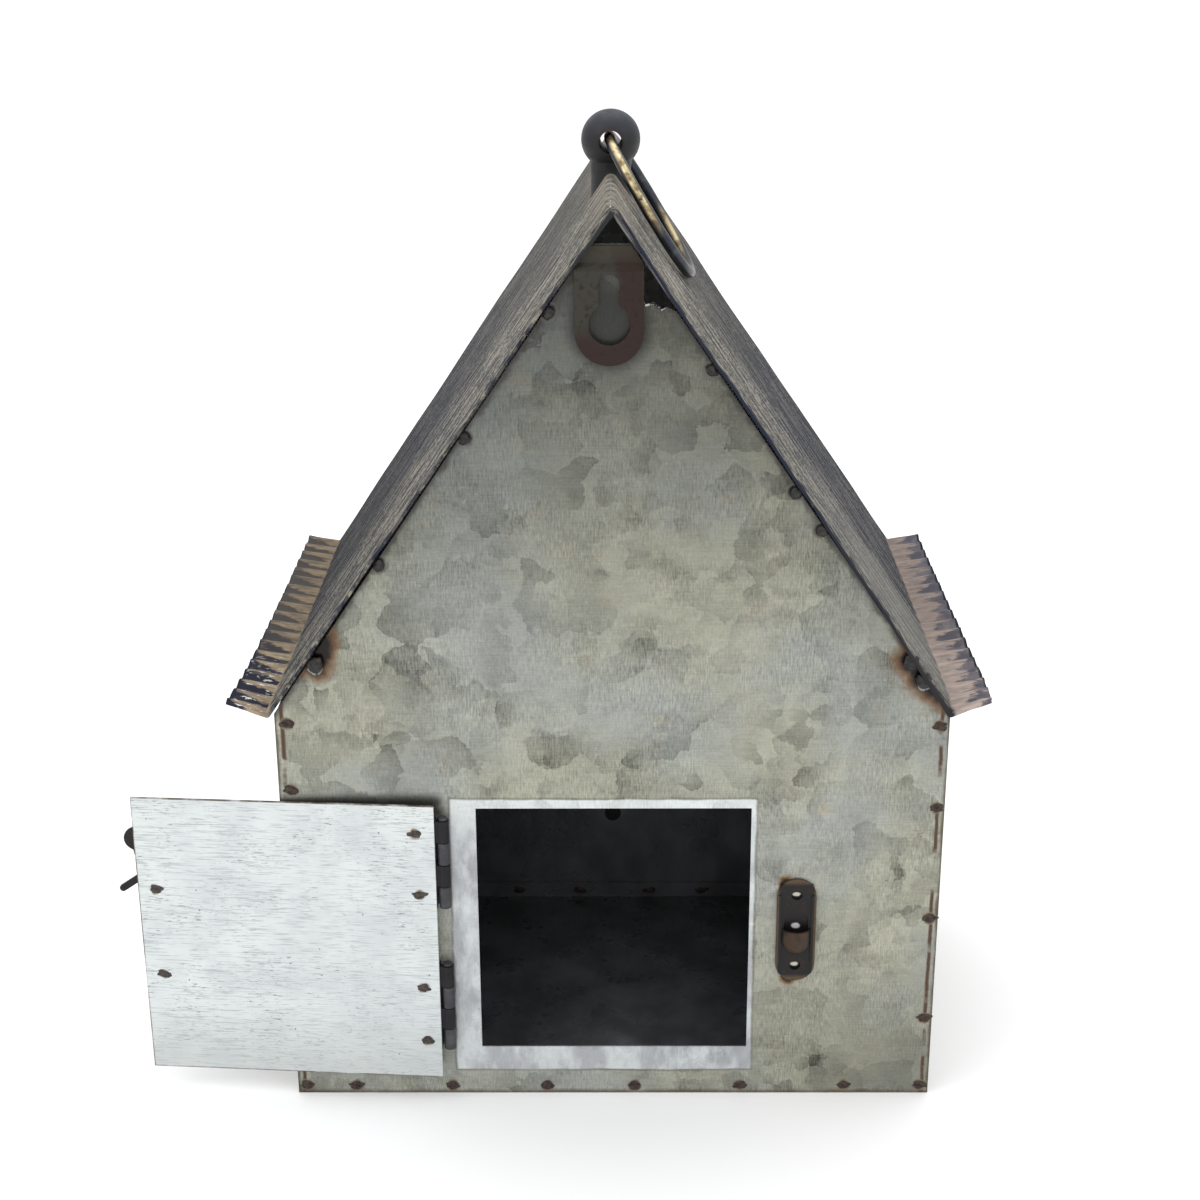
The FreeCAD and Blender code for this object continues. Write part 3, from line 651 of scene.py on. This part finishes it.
def roof_paint():
    """Painted corrugated roof: slate slopes, tan flares, and an underside in painted shade, with painted
    light on it high up inside the walls.
    """
    paint = Paint("painted_roof", 0.0, 0.75, specular=0.12)
    wave = roof_wave(paint)
    side = paint.math("ABSOLUTE", paint.x)
    on_flare = paint.rise(side, -0.8, 0.6, FOLD_X)
    paint.prime(on_flare, slope_color(paint, wave), flare_color(paint, wave))
    under = paint.times(paint.rise(roof_depth(paint), 0.1, 0.5), paint.step(on_flare, 0.6, 0.4))
    enclosed = paint.all_of(
        paint.span(paint.y, WALL_FACE + 1 * MM, -WALL_FACE - 1 * MM, 0.5 * MM),
        paint.rise(paint.z, 180, 240),
    )
    # Painted shade on the underside, and painted light on it high up inside the walls.
    painted_underside_shade_and_light = paint.mix(enclosed, (50, 50, 52), (205, 205, 204))
    paint.coat(under, painted_underside_shade_and_light)
    paint.bump(paint.noise((6, 0.8, 9), 3.0, 0.6), 0.12)
    return paint.finish(paint.patches(-1.2, 1.2, 6))


def gunmetal_paint():
    """Dark gunmetal of the finial, faintly mottled, with a painted bluish highlight on top and painted
    shade towards its foot and inside its hole.
    """
    paint = Paint("gunmetal", 0.0, 0.42, specular=0.3)
    mottle = paint.noise(2.6, 4.0, 0.65)
    paint.prime(paint.step(mottle, 0.35, 0.7), (22, 22, 25), (35, 34, 37))
    # Painted bluish highlight on the top of the ball.
    high = paint.rise(paint.z, 0, 9, BALL_CENTRE.z)
    paint.coat(high, (60, 68, 80), 0.5)
    # Painted shade towards the foot, under the ball.
    low = paint.rise(paint.z, -3, -8, BALL_CENTRE.z)
    paint.coat(low, (17, 16, 16))
    bore_reach = paint.node("CombineXYZ", X=paint.x, Z=paint.minus(paint.z, BALL_CENTRE.z))
    bore = paint.vector("DISTANCE", bore_reach.outputs[0], (0, 0, 0))
    # Painted shade inside the ball's hole.
    paint.coat(paint.rise(bore, 0.3, 0, HOLE_RADIUS), (12, 11, 11))
    lip = paint.all_of(
        paint.span(bore, HOLE_RADIUS - 0.1 * MM, HOLE_RADIUS + 0.4 * MM, 0.2 * MM),
        paint.rise(paint.z, 0, 2, BALL_CENTRE.z),
    )
    paint.coat(lip, (104, 56, 40), 0.8)
    paint.bump(mottle, 0.04)
    return paint.finish(paint.step(mottle, -0.8, 1.8))


def wire_paint():
    """Worn ring wire: smooth dark steel, with its brassy tone laid on as a painted highlight along the
    upper side of parts of the ring, and painted shade on its lower side.
    """
    paint = Paint("ring_wire", 0.7, 0.3)
    patches = paint.noise((6, 3, 6), 3.0, 0.6)
    fine = paint.noise(4, 3.0, 0.6)
    angle = ring_rest_angle()
    square = (sin(angle), 0.0, cos(angle))
    centre = BALL_CENTRE.dot(Vector(square))
    lift = paint.minus(paint.vector("DOT_PRODUCT", paint.place, square), centre)
    steel = paint.mix(paint.step(fine, 0.4, 0.7), (56, 60, 68), (84, 86, 88))
    brass = paint.mix(paint.step(fine, 0.40, 0.62), (226, 210, 166), (140, 120, 84))
    near_half = paint.all_of(paint.rise(paint.y, 0, -4, BALL_CENTRE.y), paint.rise(paint.x, 17, 12))
    far_end = paint.all_of(
        paint.rise(paint.y, -6, 0, BALL_CENTRE.y),
        paint.span(paint.x, 17.5 * MM, 23.5 * MM, 2.5 * MM),
    )
    # Painted highlight: a band along the upper side of the wire, brassy on parts of the ring.
    painted_highlight_band = paint.span(lift, -0.5 * MM, 1.3 * MM, 0.5 * MM)
    brass_and_painted_highlight = paint.all_of(paint.any_of(near_half, far_end), painted_highlight_band, paint.step(patches, 0.26, 0.40))
    paint.prime(brass_and_painted_highlight, steel, brass)
    # Painted shade on the lower side of the wire.
    paint.coat(paint.rise(lift, -0.6, -1.4), (44, 38, 32))
    paint.coat(paint.step(patches, 0.66, 0.72), (48, 44, 40))
    tip = paint.rise(paint.x, 21, 25)
    paint.color = paint.dim(paint.color, paint.line(tip, -0.6, 1.0))
    return paint.finish(paint.line(patches, 0.3, 0.2))


def burnt_paint():
    """Heat-blackened steel of the keeper and latch, rubbed to brown along the edges."""
    paint = Paint("burnt_steel", 0.2, 0.42, specular=0.35)
    patches = paint.noise(3.2, 4.0, 0.65)
    paint.prime(paint.step(patches, 0.48, 0.68), (26, 24, 24), (44, 33, 26))
    edge = paint.patches(0.62, 0.75, 1.4, offset=6.0)
    paint.coat(edge, (104, 88, 72), 0.35)
    rim = paint.any_of(
        paint.rise(paint.x, 1.0, 0.3, KEEPER_LOW.x),
        paint.rise(paint.x, -1.0, -0.3, KEEPER_HIGH.x),
        paint.rise(paint.z, 2.5, 0.8, KEEPER_LOW.z),
        paint.rise(paint.z, -2.5, -0.8, KEEPER_HIGH.z),
    )
    at_keeper = paint.rise(paint.x, -1, 0, KEEPER_LOW.x)
    worn = paint.all_of(at_keeper, rim, paint.step(patches, 0.25, 0.5))
    paint.coat(worn, (112, 90, 66), 0.6)
    pocket = paint.vector("DISTANCE", paint.place, (KEEPER_X, KEEPER_LOW.y, KEEPER_Z - 3.6 * MM))
    pocket = paint.times(paint.rise(pocket, 6.2, 4.6), paint.step(patches, 0.2, 0.6))
    paint.coat(pocket, (78, 56, 38), 0.8)
    paint.bump(patches, 0.10)
    return paint.finish(paint.step(patches, -0.6, 1.6))


def knuckle_paint(name, dark, light):
    """Plain dark steel of one hinge leaf."""
    paint = Paint(name, 0.1, 0.5, specular=0.25)
    patches = paint.noise(4, 3.0, 0.6)
    paint.prime(paint.step(patches, 0.4, 0.7), dark, light)
    paint.bump(patches, 0.05)
    return paint.finish(paint.step(patches, -0.6, 1.6))


def rusted_paint():
    """Hanger plate: olive-brown at the left, red-brown at the right and the bottom."""
    paint = Paint("rusted_steel", 0.0, 0.7, specular=0.15)
    low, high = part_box("hanger_tab")
    clouds = paint.noise(5, 4.0, 0.6)
    lean = paint.line(clouds, 9 * MM, paint.x)
    red = paint.any_of(
        paint.rise(lean, 4, 8.5),
        paint.rise(paint.line(clouds, 6 * MM, paint.z), 17, 8, low.z),
    )
    paint.prime(red, (62, 60, 54), (54, 41, 37))
    paint.coat(paint.patches(0.5, 0.75, 2), (44, 37, 34))
    top = paint.rise(paint.z, -8, -1, high.z)
    paint.coat(top, (74, 69, 60), 0.5)
    flecks = paint.specks(6, 0.5, 0.3)
    paint.coat(flecks, (128, 142, 140))
    paint.bump(clouds, 0.15)
    return paint.finish()


def weld_paint(name, dark, light, rim):
    """Scorched weld metal: brown-black or grey-brown with a few bare specks."""
    paint = Paint(name, 0.2, 0.45, specular=0.3)
    patches = paint.noise(1.5, 4.0, 0.7)
    paint.prime(paint.step(patches, 0.42, 0.62), dark, light)
    bright = paint.patches(0.70, 0.78, 0.9, 2.0, offset=3.0)
    paint.coat(bright, rim, 0.5)
    paint.bump(patches, 0.15)
    return paint.finish(paint.step(patches, -0.3, 1.6))


def tack_paint():
    """Black tack welds, with a bare silver arc below each of the two at the eaves."""
    paint = Paint("tack_metal", 0.5, 0.35)
    patches = paint.noise(1.5, 4.0, 0.7)
    paint.prime(paint.step(patches, 0.40, 0.65), (38, 36, 36), (66, 64, 62))
    arcs = []
    for key in (0, 2):
        weld = min(EAVE_WELDS, key=lambda place: place[key])
        offset = paint.vector("MULTIPLY", paint.vector("SUBTRACT", paint.place, tuple(weld)), (1, 0, 1))
        reach = paint.vector("DISTANCE", offset, (0, 0, 0))
        below = paint.rise(paint.z, 0, -1.2, weld.z)
        arcs.append(paint.times(paint.span(reach, 2.3 * MM, 3.0 * MM, 0.3 * MM), below))
    arc = paint.times(paint.any_of(*arcs), paint.patches(0.34, 0.46, 2))
    paint.coat(arc, (168, 170, 168))
    paint.bump(patches, 0.2)
    return paint.finish(paint.step(patches, -0.3, 1.4))


# ---------------------------------------------------------------- pieces

def show(name, data):
    """New object of some data, added to the scene."""
    thing = bpy.data.objects.new(name, data)
    bpy.context.scene.collection.objects.link(thing)
    return thing


def add_piece(name, corners, faces, body, material, slot, *nodes, sharp=40):
    """Closed mesh piece that rides on a body and stands for some CAD nodes."""
    mesh = bpy.data.meshes.new(name)
    mesh.from_pydata(corners, [], faces)
    shape = bmesh.new()
    shape.from_mesh(mesh)
    bmesh.ops.remove_doubles(shape, verts=shape.verts, dist=0.0005 * MM)
    bmesh.ops.recalc_face_normals(shape, faces=shape.faces)
    for face in shape.faces:
        face.smooth = True
    shape.to_mesh(mesh)
    shape.free()
    mesh.set_sharp_from_angle(angle=radians(sharp))
    mesh.materials.append(material)
    piece = show(name, mesh)
    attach(piece, body)
    if nodes:
        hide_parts(*nodes)


def grid_faces(rows, columns, start=0, wrap_rows=False, wrap_columns=False, caps=False):
    """Quads over a grid of corners stored row by row; caps close its first and last rows."""
    faces = []
    for row in range(rows if wrap_rows else rows - 1):
        for column in range(columns if wrap_columns else columns - 1):
            one = start + row * columns + column
            two = start + row * columns + (column + 1) % columns
            below = start + (row + 1) % rows * columns
            faces.append((one, two, below + (column + 1) % columns, below + column))
    if caps:
        faces += [tuple(range(start + row * columns, start + (row + 1) * columns)) for row in (0, rows - 1)]
    return faces


def bend_points(corner, before, after, radius):
    """Arc that rounds one corner of the roof line, as (point, normal) pairs."""
    one = (corner - before).normalized()
    two = (after - corner).normalized()
    turn = one.angle(two)
    side = 1 if one.x * two.z - one.z * two.x > 0 else -1
    square = Vector((-one.z, 0, one.x)) * side
    start = corner - one * radius * tan(turn / 2)
    centre = start + square * radius
    pairs = []
    steps = 8
    for index in range(steps + 1):
        spin = Matrix.Rotation(-side * turn * index / steps, 3, "Y")
        spoke = spin @ -square
        pairs.append((centre + spoke * radius, spoke * -side))
    return pairs


def roof_line():
    """The sheet's middle line from the left tip over the ridge to the right tip."""
    tip = Vector((FOLD_X + FLARE_WIDTH * cos(FLARE_ANGLE), 0, FOLD_Z + FLARE_WIDTH * sin(FLARE_ANGLE)))
    fold = Vector((FOLD_X, 0, FOLD_Z))
    flip = Matrix.Diagonal((-1, 1, 1))
    corners = [flip @ tip, flip @ fold, Vector((0, 0, RIDGE_Z)), fold, tip]
    pairs = []
    end = (corners[0], None)
    for index, radius in ((1, FOLD_BEND), (2, RIDGE_BEND), (3, FOLD_BEND)):
        bend = bend_points(corners[index], corners[index - 1], corners[index + 1], radius)
        pairs += straight_points(end[0], bend[0])
        pairs += bend
        end = bend[-1]
    pairs += straight_points(end[0], (corners[4], end[1]))
    pairs.append((corners[4], end[1]))
    return pairs


def straight_points(start, end):
    """Evenly spaced (point, normal) pairs on a straight run, without its last point."""
    run = end[0] - start
    count = max(2, round(run.length / (3.2 * MM)))
    return [(start + run * index / count, end[1]) for index in range(count)]


def dent(place, size, depth, seed):
    """Smooth uneven offset of a sheet at a point."""
    return depth * noise.noise(place / size + Vector((seed, seed, seed)))


def crimp(place, edge, tip):
    """Uneven rise and fall that hammering left along the eave's tip."""
    return dent(place, 4 * MM, 0.9 * MM, 6.6) * tip ** 2 * (0.35 + edge)


def bent_edge(point, inward, tip):
    """How the near edge was bent: ridge pushed right, folds pressed to the wall, flares lifted."""
    side = abs(point.x)
    ridge = 1.6 * MM * exp(-(inward / (2.2 * MM)) ** 2 - (side / (12 * MM)) ** 2)
    press = 0.9 * MM * exp(-(inward / (2.5 * MM)) ** 2 - ((side - FOLD_X) / (14 * MM)) ** 2)
    lift = tip * (2.9 * MM * exp(-inward / (18 * MM)) - 0.6 * MM)
    into = Vector((-copysign(sin(SLOPE), point.x), 0, -cos(SLOPE)))
    low = min(1.0, max(0.0, (side - 60 * MM) / (FOLD_X - 60 * MM)))
    sway = low * (1.5 * MM * exp(-inward / (45 * MM if point.x < 0 else 12 * MM)) - 0.4 * MM)
    return Vector((ridge - sway, 0, lift)) + into * press


def roof_corner(point, normal, y, level):
    """One corner of the roof sheet, above or below its middle, with dents and a bent near edge."""
    wave = sin((y - ROOF_NEAR) * pi / HALF_WAVE) * WAVE_HEIGHT / 2
    place = Vector((point.x, y, point.z))
    edge = exp(-(y - ROOF_NEAR) / (6 * MM))
    tip = max(0.0, (abs(point.x) - FOLD_X) / FLARE_WIDTH)
    lift = dent(place, 22 * MM, 0.35 * MM, 1.7) + dent(place, 9 * MM, 0.25 * MM, 5.1) * (edge + tip)
    shift = dent(place, 5 * MM, 0.5 * MM, 8.3) * edge
    outward = copysign(dent(Vector((0, y, point.x)), 6 * MM, 0.5 * MM, 3.9) * tip, point.x)
    outset = wave + lift + level
    if abs(point.x) < RIDGE_BEND:
        outset = max(outset, -0.7 * MM)
    loose = Vector((outward, shift, crimp(place, edge, tip)))
    return place + normal * outset + loose + bent_edge(point, y - ROOF_NEAR, tip)


def build_roof(material):
    """Corrugated roof sheet with rounded bends, as one closed skin."""
    line = roof_line()
    columns = HALF_WAVES * 5 + 1
    depths = [ROOF_NEAR + (ROOF_FAR - ROOF_NEAR) * index / (columns - 1) for index in range(columns)]
    corners = []
    for level in (SHEET / 2, -SHEET / 2):
        for point, normal in line:
            corners += [roof_corner(point, normal, y, level) for y in depths]
    rows = len(line)
    under = rows * columns
    faces = grid_faces(rows, columns) + grid_faces(rows, columns, start=under)
    rim = [(row * columns + column, 1) for column in range(columns - 1) for row in (0, rows - 1)]
    rim += [(row * columns + column, columns) for row in range(rows - 1) for column in (0, columns - 1)]
    faces += [(one, one + step, under + one + step, under + one) for one, step in rim]
    add_piece("corrugated_roof", corners, faces, "house", material, "roof_sheet", "roof_sheet", sharp=60)


def circle(steps):
    """Evenly spaced (cosine, sine) pairs around a circle."""
    turns = [2 * pi * step / steps for step in range(steps)]
    return [(cos(turn), sin(turn)) for turn in turns]


def lathe(profile, place, axis, steps):
    """Corners and faces of a closed profile of (radius, along) pairs turned about an axis."""
    turn = Vector((0, 0, 1)).rotation_difference(axis).to_matrix()
    corners = []
    for right, up in circle(steps):
        spokes = [Vector((radius * right, radius * up, along)) for radius, along in profile]
        corners += [place + turn @ spoke for spoke in spokes]
    return corners, grid_faces(steps, len(profile), wrap_rows=True, wrap_columns=True)


def build_ball(material):
    """Drilled ball with a rounded lip at each end of its hole."""
    lip = 0.5 * MM
    start = asin((HOLE_RADIUS + lip) / BALL_RADIUS)
    profile = []
    for index in range(37):
        angle = start + (pi - 2 * start) * index / 36
        profile.append((BALL_RADIUS * sin(angle), -BALL_RADIUS * cos(angle)))
    face = BALL_RADIUS * cos(start)
    for side in (1, -1):
        bend = [(HOLE_RADIUS + 0.35 * lip, side * (face - 0.1 * lip)), (HOLE_RADIUS, side * (face - lip))]
        profile += bend if side == 1 else reversed(bend)
    corners, faces = lathe(profile, BALL_CENTRE, Vector((0, 1, 0)), 72)
    add_piece("ball_finial", corners, faces, "house", material, "gunmetal", "finial_ball")


def build_neck(material):
    """Neck that blends out of the ball and flares down into a saddle over the ridge."""
    rows, steps = 12, 64
    top, foot = 6.75 * MM, 7.0 * MM
    corners = []
    for row in range(rows):
        share = row / (rows - 1)
        waist = 0.5 * MM * sin(pi * share)
        for across, along in circle(steps):
            radius = top * (1 - share) + foot * share - waist
            radius += dent(Vector((across, along, share)), 0.8, 0.2 * MM, 2.2)
            roof_z = RIDGE_Z - RIDGE_BEND * 0.6 - abs(radius * across) * tan(SLOPE)
            height = NECK_TOP_Z * (1 - share) + roof_z * share
            corners.append(Vector((radius * across, BALL_CENTRE.y + radius * along, height)))
    faces = grid_faces(rows, steps, wrap_columns=True, caps=True)
    add_piece("flared_neck", corners, faces, "house", material, "gunmetal", "finial_neck")


def ring_rest_angle():
    """Angle below horizontal at which the ring lies on the right slope."""
    skin = (WAVE_HEIGHT + SHEET) / 2
    hole_height = (BALL_CENTRE.z - RIDGE_Z) * cos(SLOPE) - skin
    drop = hole_height - WIRE_RADIUS - RING_REST_GAP
    return SLOPE + asin(drop / (2 * RING_RADIUS - RING_SET_BACK))


def build_ring(material):
    """Hanging ring of worn wire, a little uneven, with a dressed butt joint."""
    angle = ring_rest_angle()
    along = Vector((cos(angle), 0, -sin(angle)))
    normal = Vector((sin(angle), 0, cos(angle)))
    side = normal.cross(along)
    centre = BALL_CENTRE + along * (RING_RADIUS - RING_SET_BACK)
    steps, sides = 160, 20
    corners = []
    for step in range(steps):
        turn = 2 * pi * step / steps
        spoke = along * cos(turn) + side * sin(turn)
        joint = exp(-((turn - 2.4) / 0.035) ** 2)
        place = centre + spoke * RING_RADIUS
        for out, up in circle(sides):
            offset = spoke * out + normal * up
            uneven = dent(place + offset * MM, 5 * MM, 0.04 * MM, 4.4)
            corners.append(place + offset * (WIRE_RADIUS * (0.985 - 0.10 * joint) + uneven))
    faces = grid_faces(steps, sides, wrap_rows=True, wrap_columns=True)
    add_piece("wire_ring", corners, faces, "ring", material, "ring_wire", "hanging_ring")


def weld_marks(name, node, outward, body, material, spread, height):
    """Irregular low nuggets in place of the round weld marks of a CAD node."""
    across = outward.cross(Vector((0, 0, 1))).normalized()
    up = across.cross(outward)
    corners, faces = [], []
    rings, steps = 6, 24
    for number, points in enumerate(islands(node)):
        centre = middle(points)
        base = min(point.dot(outward) for point in points)
        reach = max((point - centre).dot(up) for point in points) * spread
        foot = centre + outward * (base - centre.dot(outward))
        start = len(corners)
        for ring in range(rings + 1):
            share = cos(0.5 * pi * ring / rings)
            for right, top in circle(steps):
                around = Vector((right, top, number * 3.1))
                lump = 1 + 0.55 * noise.noise(around * 1.2) + 0.25 * noise.noise(around * 2.9)
                radius = reach * share * lump
                rise = height * sin(0.5 * pi * ring / rings)
                rise *= 1 + 0.5 * noise.noise(around * 2 + Vector((ring, 0, 0)))
                stretch = 1.05 + 0.25 * noise.noise(Vector((number * 1.7, 0.3, 0.6)))
                flat = across * (radius * stretch * 1.15 * right) + up * (radius * 0.74 * top)
                corners.append(foot + flat + outward * max(0.0, rise))
        faces += grid_faces(rings + 1, steps, start=start, wrap_columns=True)
        faces.append(tuple(range(start, start + steps)))
    add_piece(name, corners, faces, body, material, "weld_metal", node, sharp=70)


def build_tack_welds(material):
    """Lumpy nuggets in the corner between the rear wall and the roof."""
    node = "roof_tack_welds"
    corners, faces = [], []
    rings, steps = 10, 24
    for number, points in enumerate(islands(node)):
        centre = middle(points)
        size = Vector([max(point[axis] for point in points) - centre[axis] for axis in range(3)])
        start = len(corners)
        for ring in range(rings + 1):
            tilt = pi * ring / rings
            for right, top in circle(steps):
                spoke = Vector((sin(tilt) * right, cos(tilt), sin(tilt) * top))
                lump = 0.95 + 0.3 * noise.noise(spoke * 1.6 + Vector((number * 2.7, 0, 0)))
                corners.append(centre + Vector([size[axis] * spoke[axis] * lump for axis in range(3)]))
        faces += grid_faces(rings + 1, steps, start=start, wrap_columns=True)
    add_piece("tack_weld_nuggets", corners, faces, "house", material, "weld_metal", node, sharp=70)


def build_burr(material):
    """Thin curl of bare metal along the torn shoulder of the rear wall."""
    tear = [corner.co for corner in NODES["rear_wall"].data.vertices]
    tear = [co for co in tear if co.y < WALL_FACE + 0.01 * MM]
    tear = [co for co in tear if 8 * MM < co.x < 19 * MM and 268 * MM < co.z < 275 * MM]
    tear = sorted({(round(co.x, 5), round(co.z, 5)) for co in tear})
    path = []
    for (x, z), (next_x, next_z) in zip(tear, tear[1:]):
        for step in range(8):
            share = step / 8
            across, up = x + (next_x - x) * share, z + (next_z - z) * share
            path.append(Vector((across, WALL_FACE - 0.35 * MM, up)))
    sides = 8
    corners = []
    for index, point in enumerate(path):
        taper = sin(pi * (index + 0.6) / (len(path) + 0.2))
        wander = Vector((0, -0.35 * MM, 0.5 * MM)) * noise.noise(point / (1.3 * MM))
        size = 0.42 * MM * taper * (1 + 0.7 * noise.noise(point / (0.9 * MM)))
        corners += [point + wander + Vector((0, 0.6 * out, up)) * size for out, up in circle(sides)]
    faces = grid_faces(len(path), sides, wrap_columns=True, caps=True)
    add_piece("torn_edge_burr", corners, faces, "house", material, "galvanised_sheet", sharp=50)


def burr_paint():
    """Bare bright metal of the torn edge, broken by black."""
    paint = Paint("torn_metal", 0.6, 0.3)
    patches = paint.noise(1.6, 3.0, 0.6)
    paint.prime(paint.step(patches, 0.42, 0.52), (40, 38, 36), (206, 204, 198))
    return paint.finish()


def soften(node, width):
    """Worn edges on a CAD node."""
    weld = NODES[node].modifiers.new("join", "WELD")
    weld.merge_threshold = 0.001 * MM
    bevel = NODES[node].modifiers.new("wear", "BEVEL")
    bevel.width = width
    bevel.segments = 2
    bevel.limit_method = "ANGLE"
    bevel.angle_limit = radians(40)
    NODES[node].modifiers.new("shade", "WEIGHTED_NORMAL")


def dress(names, material, width=0.0):
    """Give CAD nodes a material and worn edges."""
    for name in names:
        NODES[name].data.materials.clear()
        NODES[name].data.materials.append(material)
        if width:
            soften(name, width)


# ---------------------------------------------------------------- studio

def build_floor():
    """Plain pale floor."""
    paint = Paint("floor", 0.0, 0.9, specular=0.0)
    paint.prime(paint.noise(600, 1.0), *FLOOR_TONES)
    half = FLOOR_SIZE / 2
    mesh = bpy.data.meshes.new("floor")
    corners = [(-half, -half, 0), (half, -half, 0), (half, half, 0), (-half, half, 0)]
    mesh.from_pydata(corners, [], [(0, 1, 2, 3)])
    mesh.materials.append(paint.finish())
    floor = show("floor", mesh)
    floor.location.z = -0.05 * MM


def add_softbox(name, place, size, watts):
    """Square soft light that points at the middle of the object."""
    light = bpy.data.lights.new(name, "AREA")
    light.size = size
    light.energy = watts
    lamp = show(name, light)
    lamp.location = place
    aim = Vector((0, 0, 0.15)) - Vector(place)
    lamp.rotation_euler = aim.to_track_quat("-Z", "Y").to_euler()


def build_light():
    """White surroundings and three large softboxes."""
    world = bpy.data.worlds.new("studio")
    world.use_nodes = True
    backdrop = world.node_tree.nodes["Background"]
    backdrop.inputs["Color"].default_value = (1.0, 1.0, 1.0, 1)
    backdrop.inputs["Strength"].default_value = 1.12
    bpy.context.scene.world = world
    add_softbox("key", (-0.9, -0.7, 1.1), 0.8, 3.4)
    add_softbox("fill", (1.0, -0.6, 0.9), 0.8, 2.2)
    add_softbox("top", (0.0, 0.5, 1.6), 1.2, 7.0)


def build_camera():
    """Camera at the height of the ridge, looking down at the rear wall."""
    data = bpy.data.cameras.new("camera")
    data.lens = CAMERA_LENS
    camera = show("camera", data)
    first, pitch, roll = (radians(value) for value in CAMERA_TURN)
    turn = Matrix.Rotation(first, 3, "Z") @ Matrix.Rotation(pitch, 3, "X") @ Matrix.Rotation(roll, 3, "Z")
    camera.rotation_euler = turn.to_euler()
    camera.location = CAMERA_PLACE
    data.clip_start = 0.01
    bpy.context.scene.camera = camera
    bpy.context.scene.view_settings.view_transform = "Standard"


def build_object():
    """Materials and pieces of the lantern."""
    rear = Vector((0, -1, 0))
    sheet = sheet_paint()
    gunmetal = gunmetal_paint()
    burnt = burnt_paint()
    # The hinge leaves are one plain steel: the fixed leaf's lighter copy is painted light, the door leaf's
    # darker copy painted shade.
    fixed_leaf = knuckle_paint("fixed_leaf_steel_painted_light", (66, 66, 70), (86, 86, 88))
    door_leaf = knuckle_paint("door_leaf_steel_painted_shade", (28, 28, 31), (40, 38, 40))
    weld = weld_paint("weld_metal", (48, 40, 37), (80, 66, 58), (140, 130, 120))
    door_weld = weld_paint("door_weld_metal", (58, 54, 52), (88, 80, 75), (130, 120, 110))
    build_roof(roof_paint())
    build_ball(gunmetal)
    build_neck(gunmetal)
    build_ring(wire_paint())
    door_face = rear_facing("door_panel")
    weld_marks("wall_weld_nuggets", "wall_spot_welds", rear, "house", weld, 0.98, 0.35 * MM)
    weld_marks("floor_weld_nuggets", "floor_spot_welds", rear, "house", weld, 1.0, 0.35 * MM)
    weld_marks("door_weld_nuggets", "door_spot_welds", door_face, "door", door_weld, 0.95, 0.2 * MM)
    build_tack_welds(tack_paint())
    build_burr(burr_paint())
    dress(["rear_wall"], rear_wall_paint(), 0.12 * MM)
    dress(["front_wall", "left_side_wall", "right_side_wall", "floor_pan"], sheet, 0.12 * MM)
    dress(["door_panel"], door_paint(), 0.12 * MM)
    dress(["hanger_tab"], rusted_paint(), 0.15 * MM)
    dress(["keeper_plate", "latch_plate", "latch_lever", "latch_rivet"], burnt, 0.2 * MM)
    hinges = [name for name in NODES if "hinge" in name]
    dress([name for name in hinges if "door_leaf" not in name], fixed_leaf, 0.12 * MM)
    dress([name for name in hinges if "door_leaf" in name], door_leaf, 0.12 * MM)
    dress(["perch_rod", "finial_saddle", "finial_screw"], gunmetal, 0.15 * MM)


build_object()
build_floor()
build_light()
build_camera()
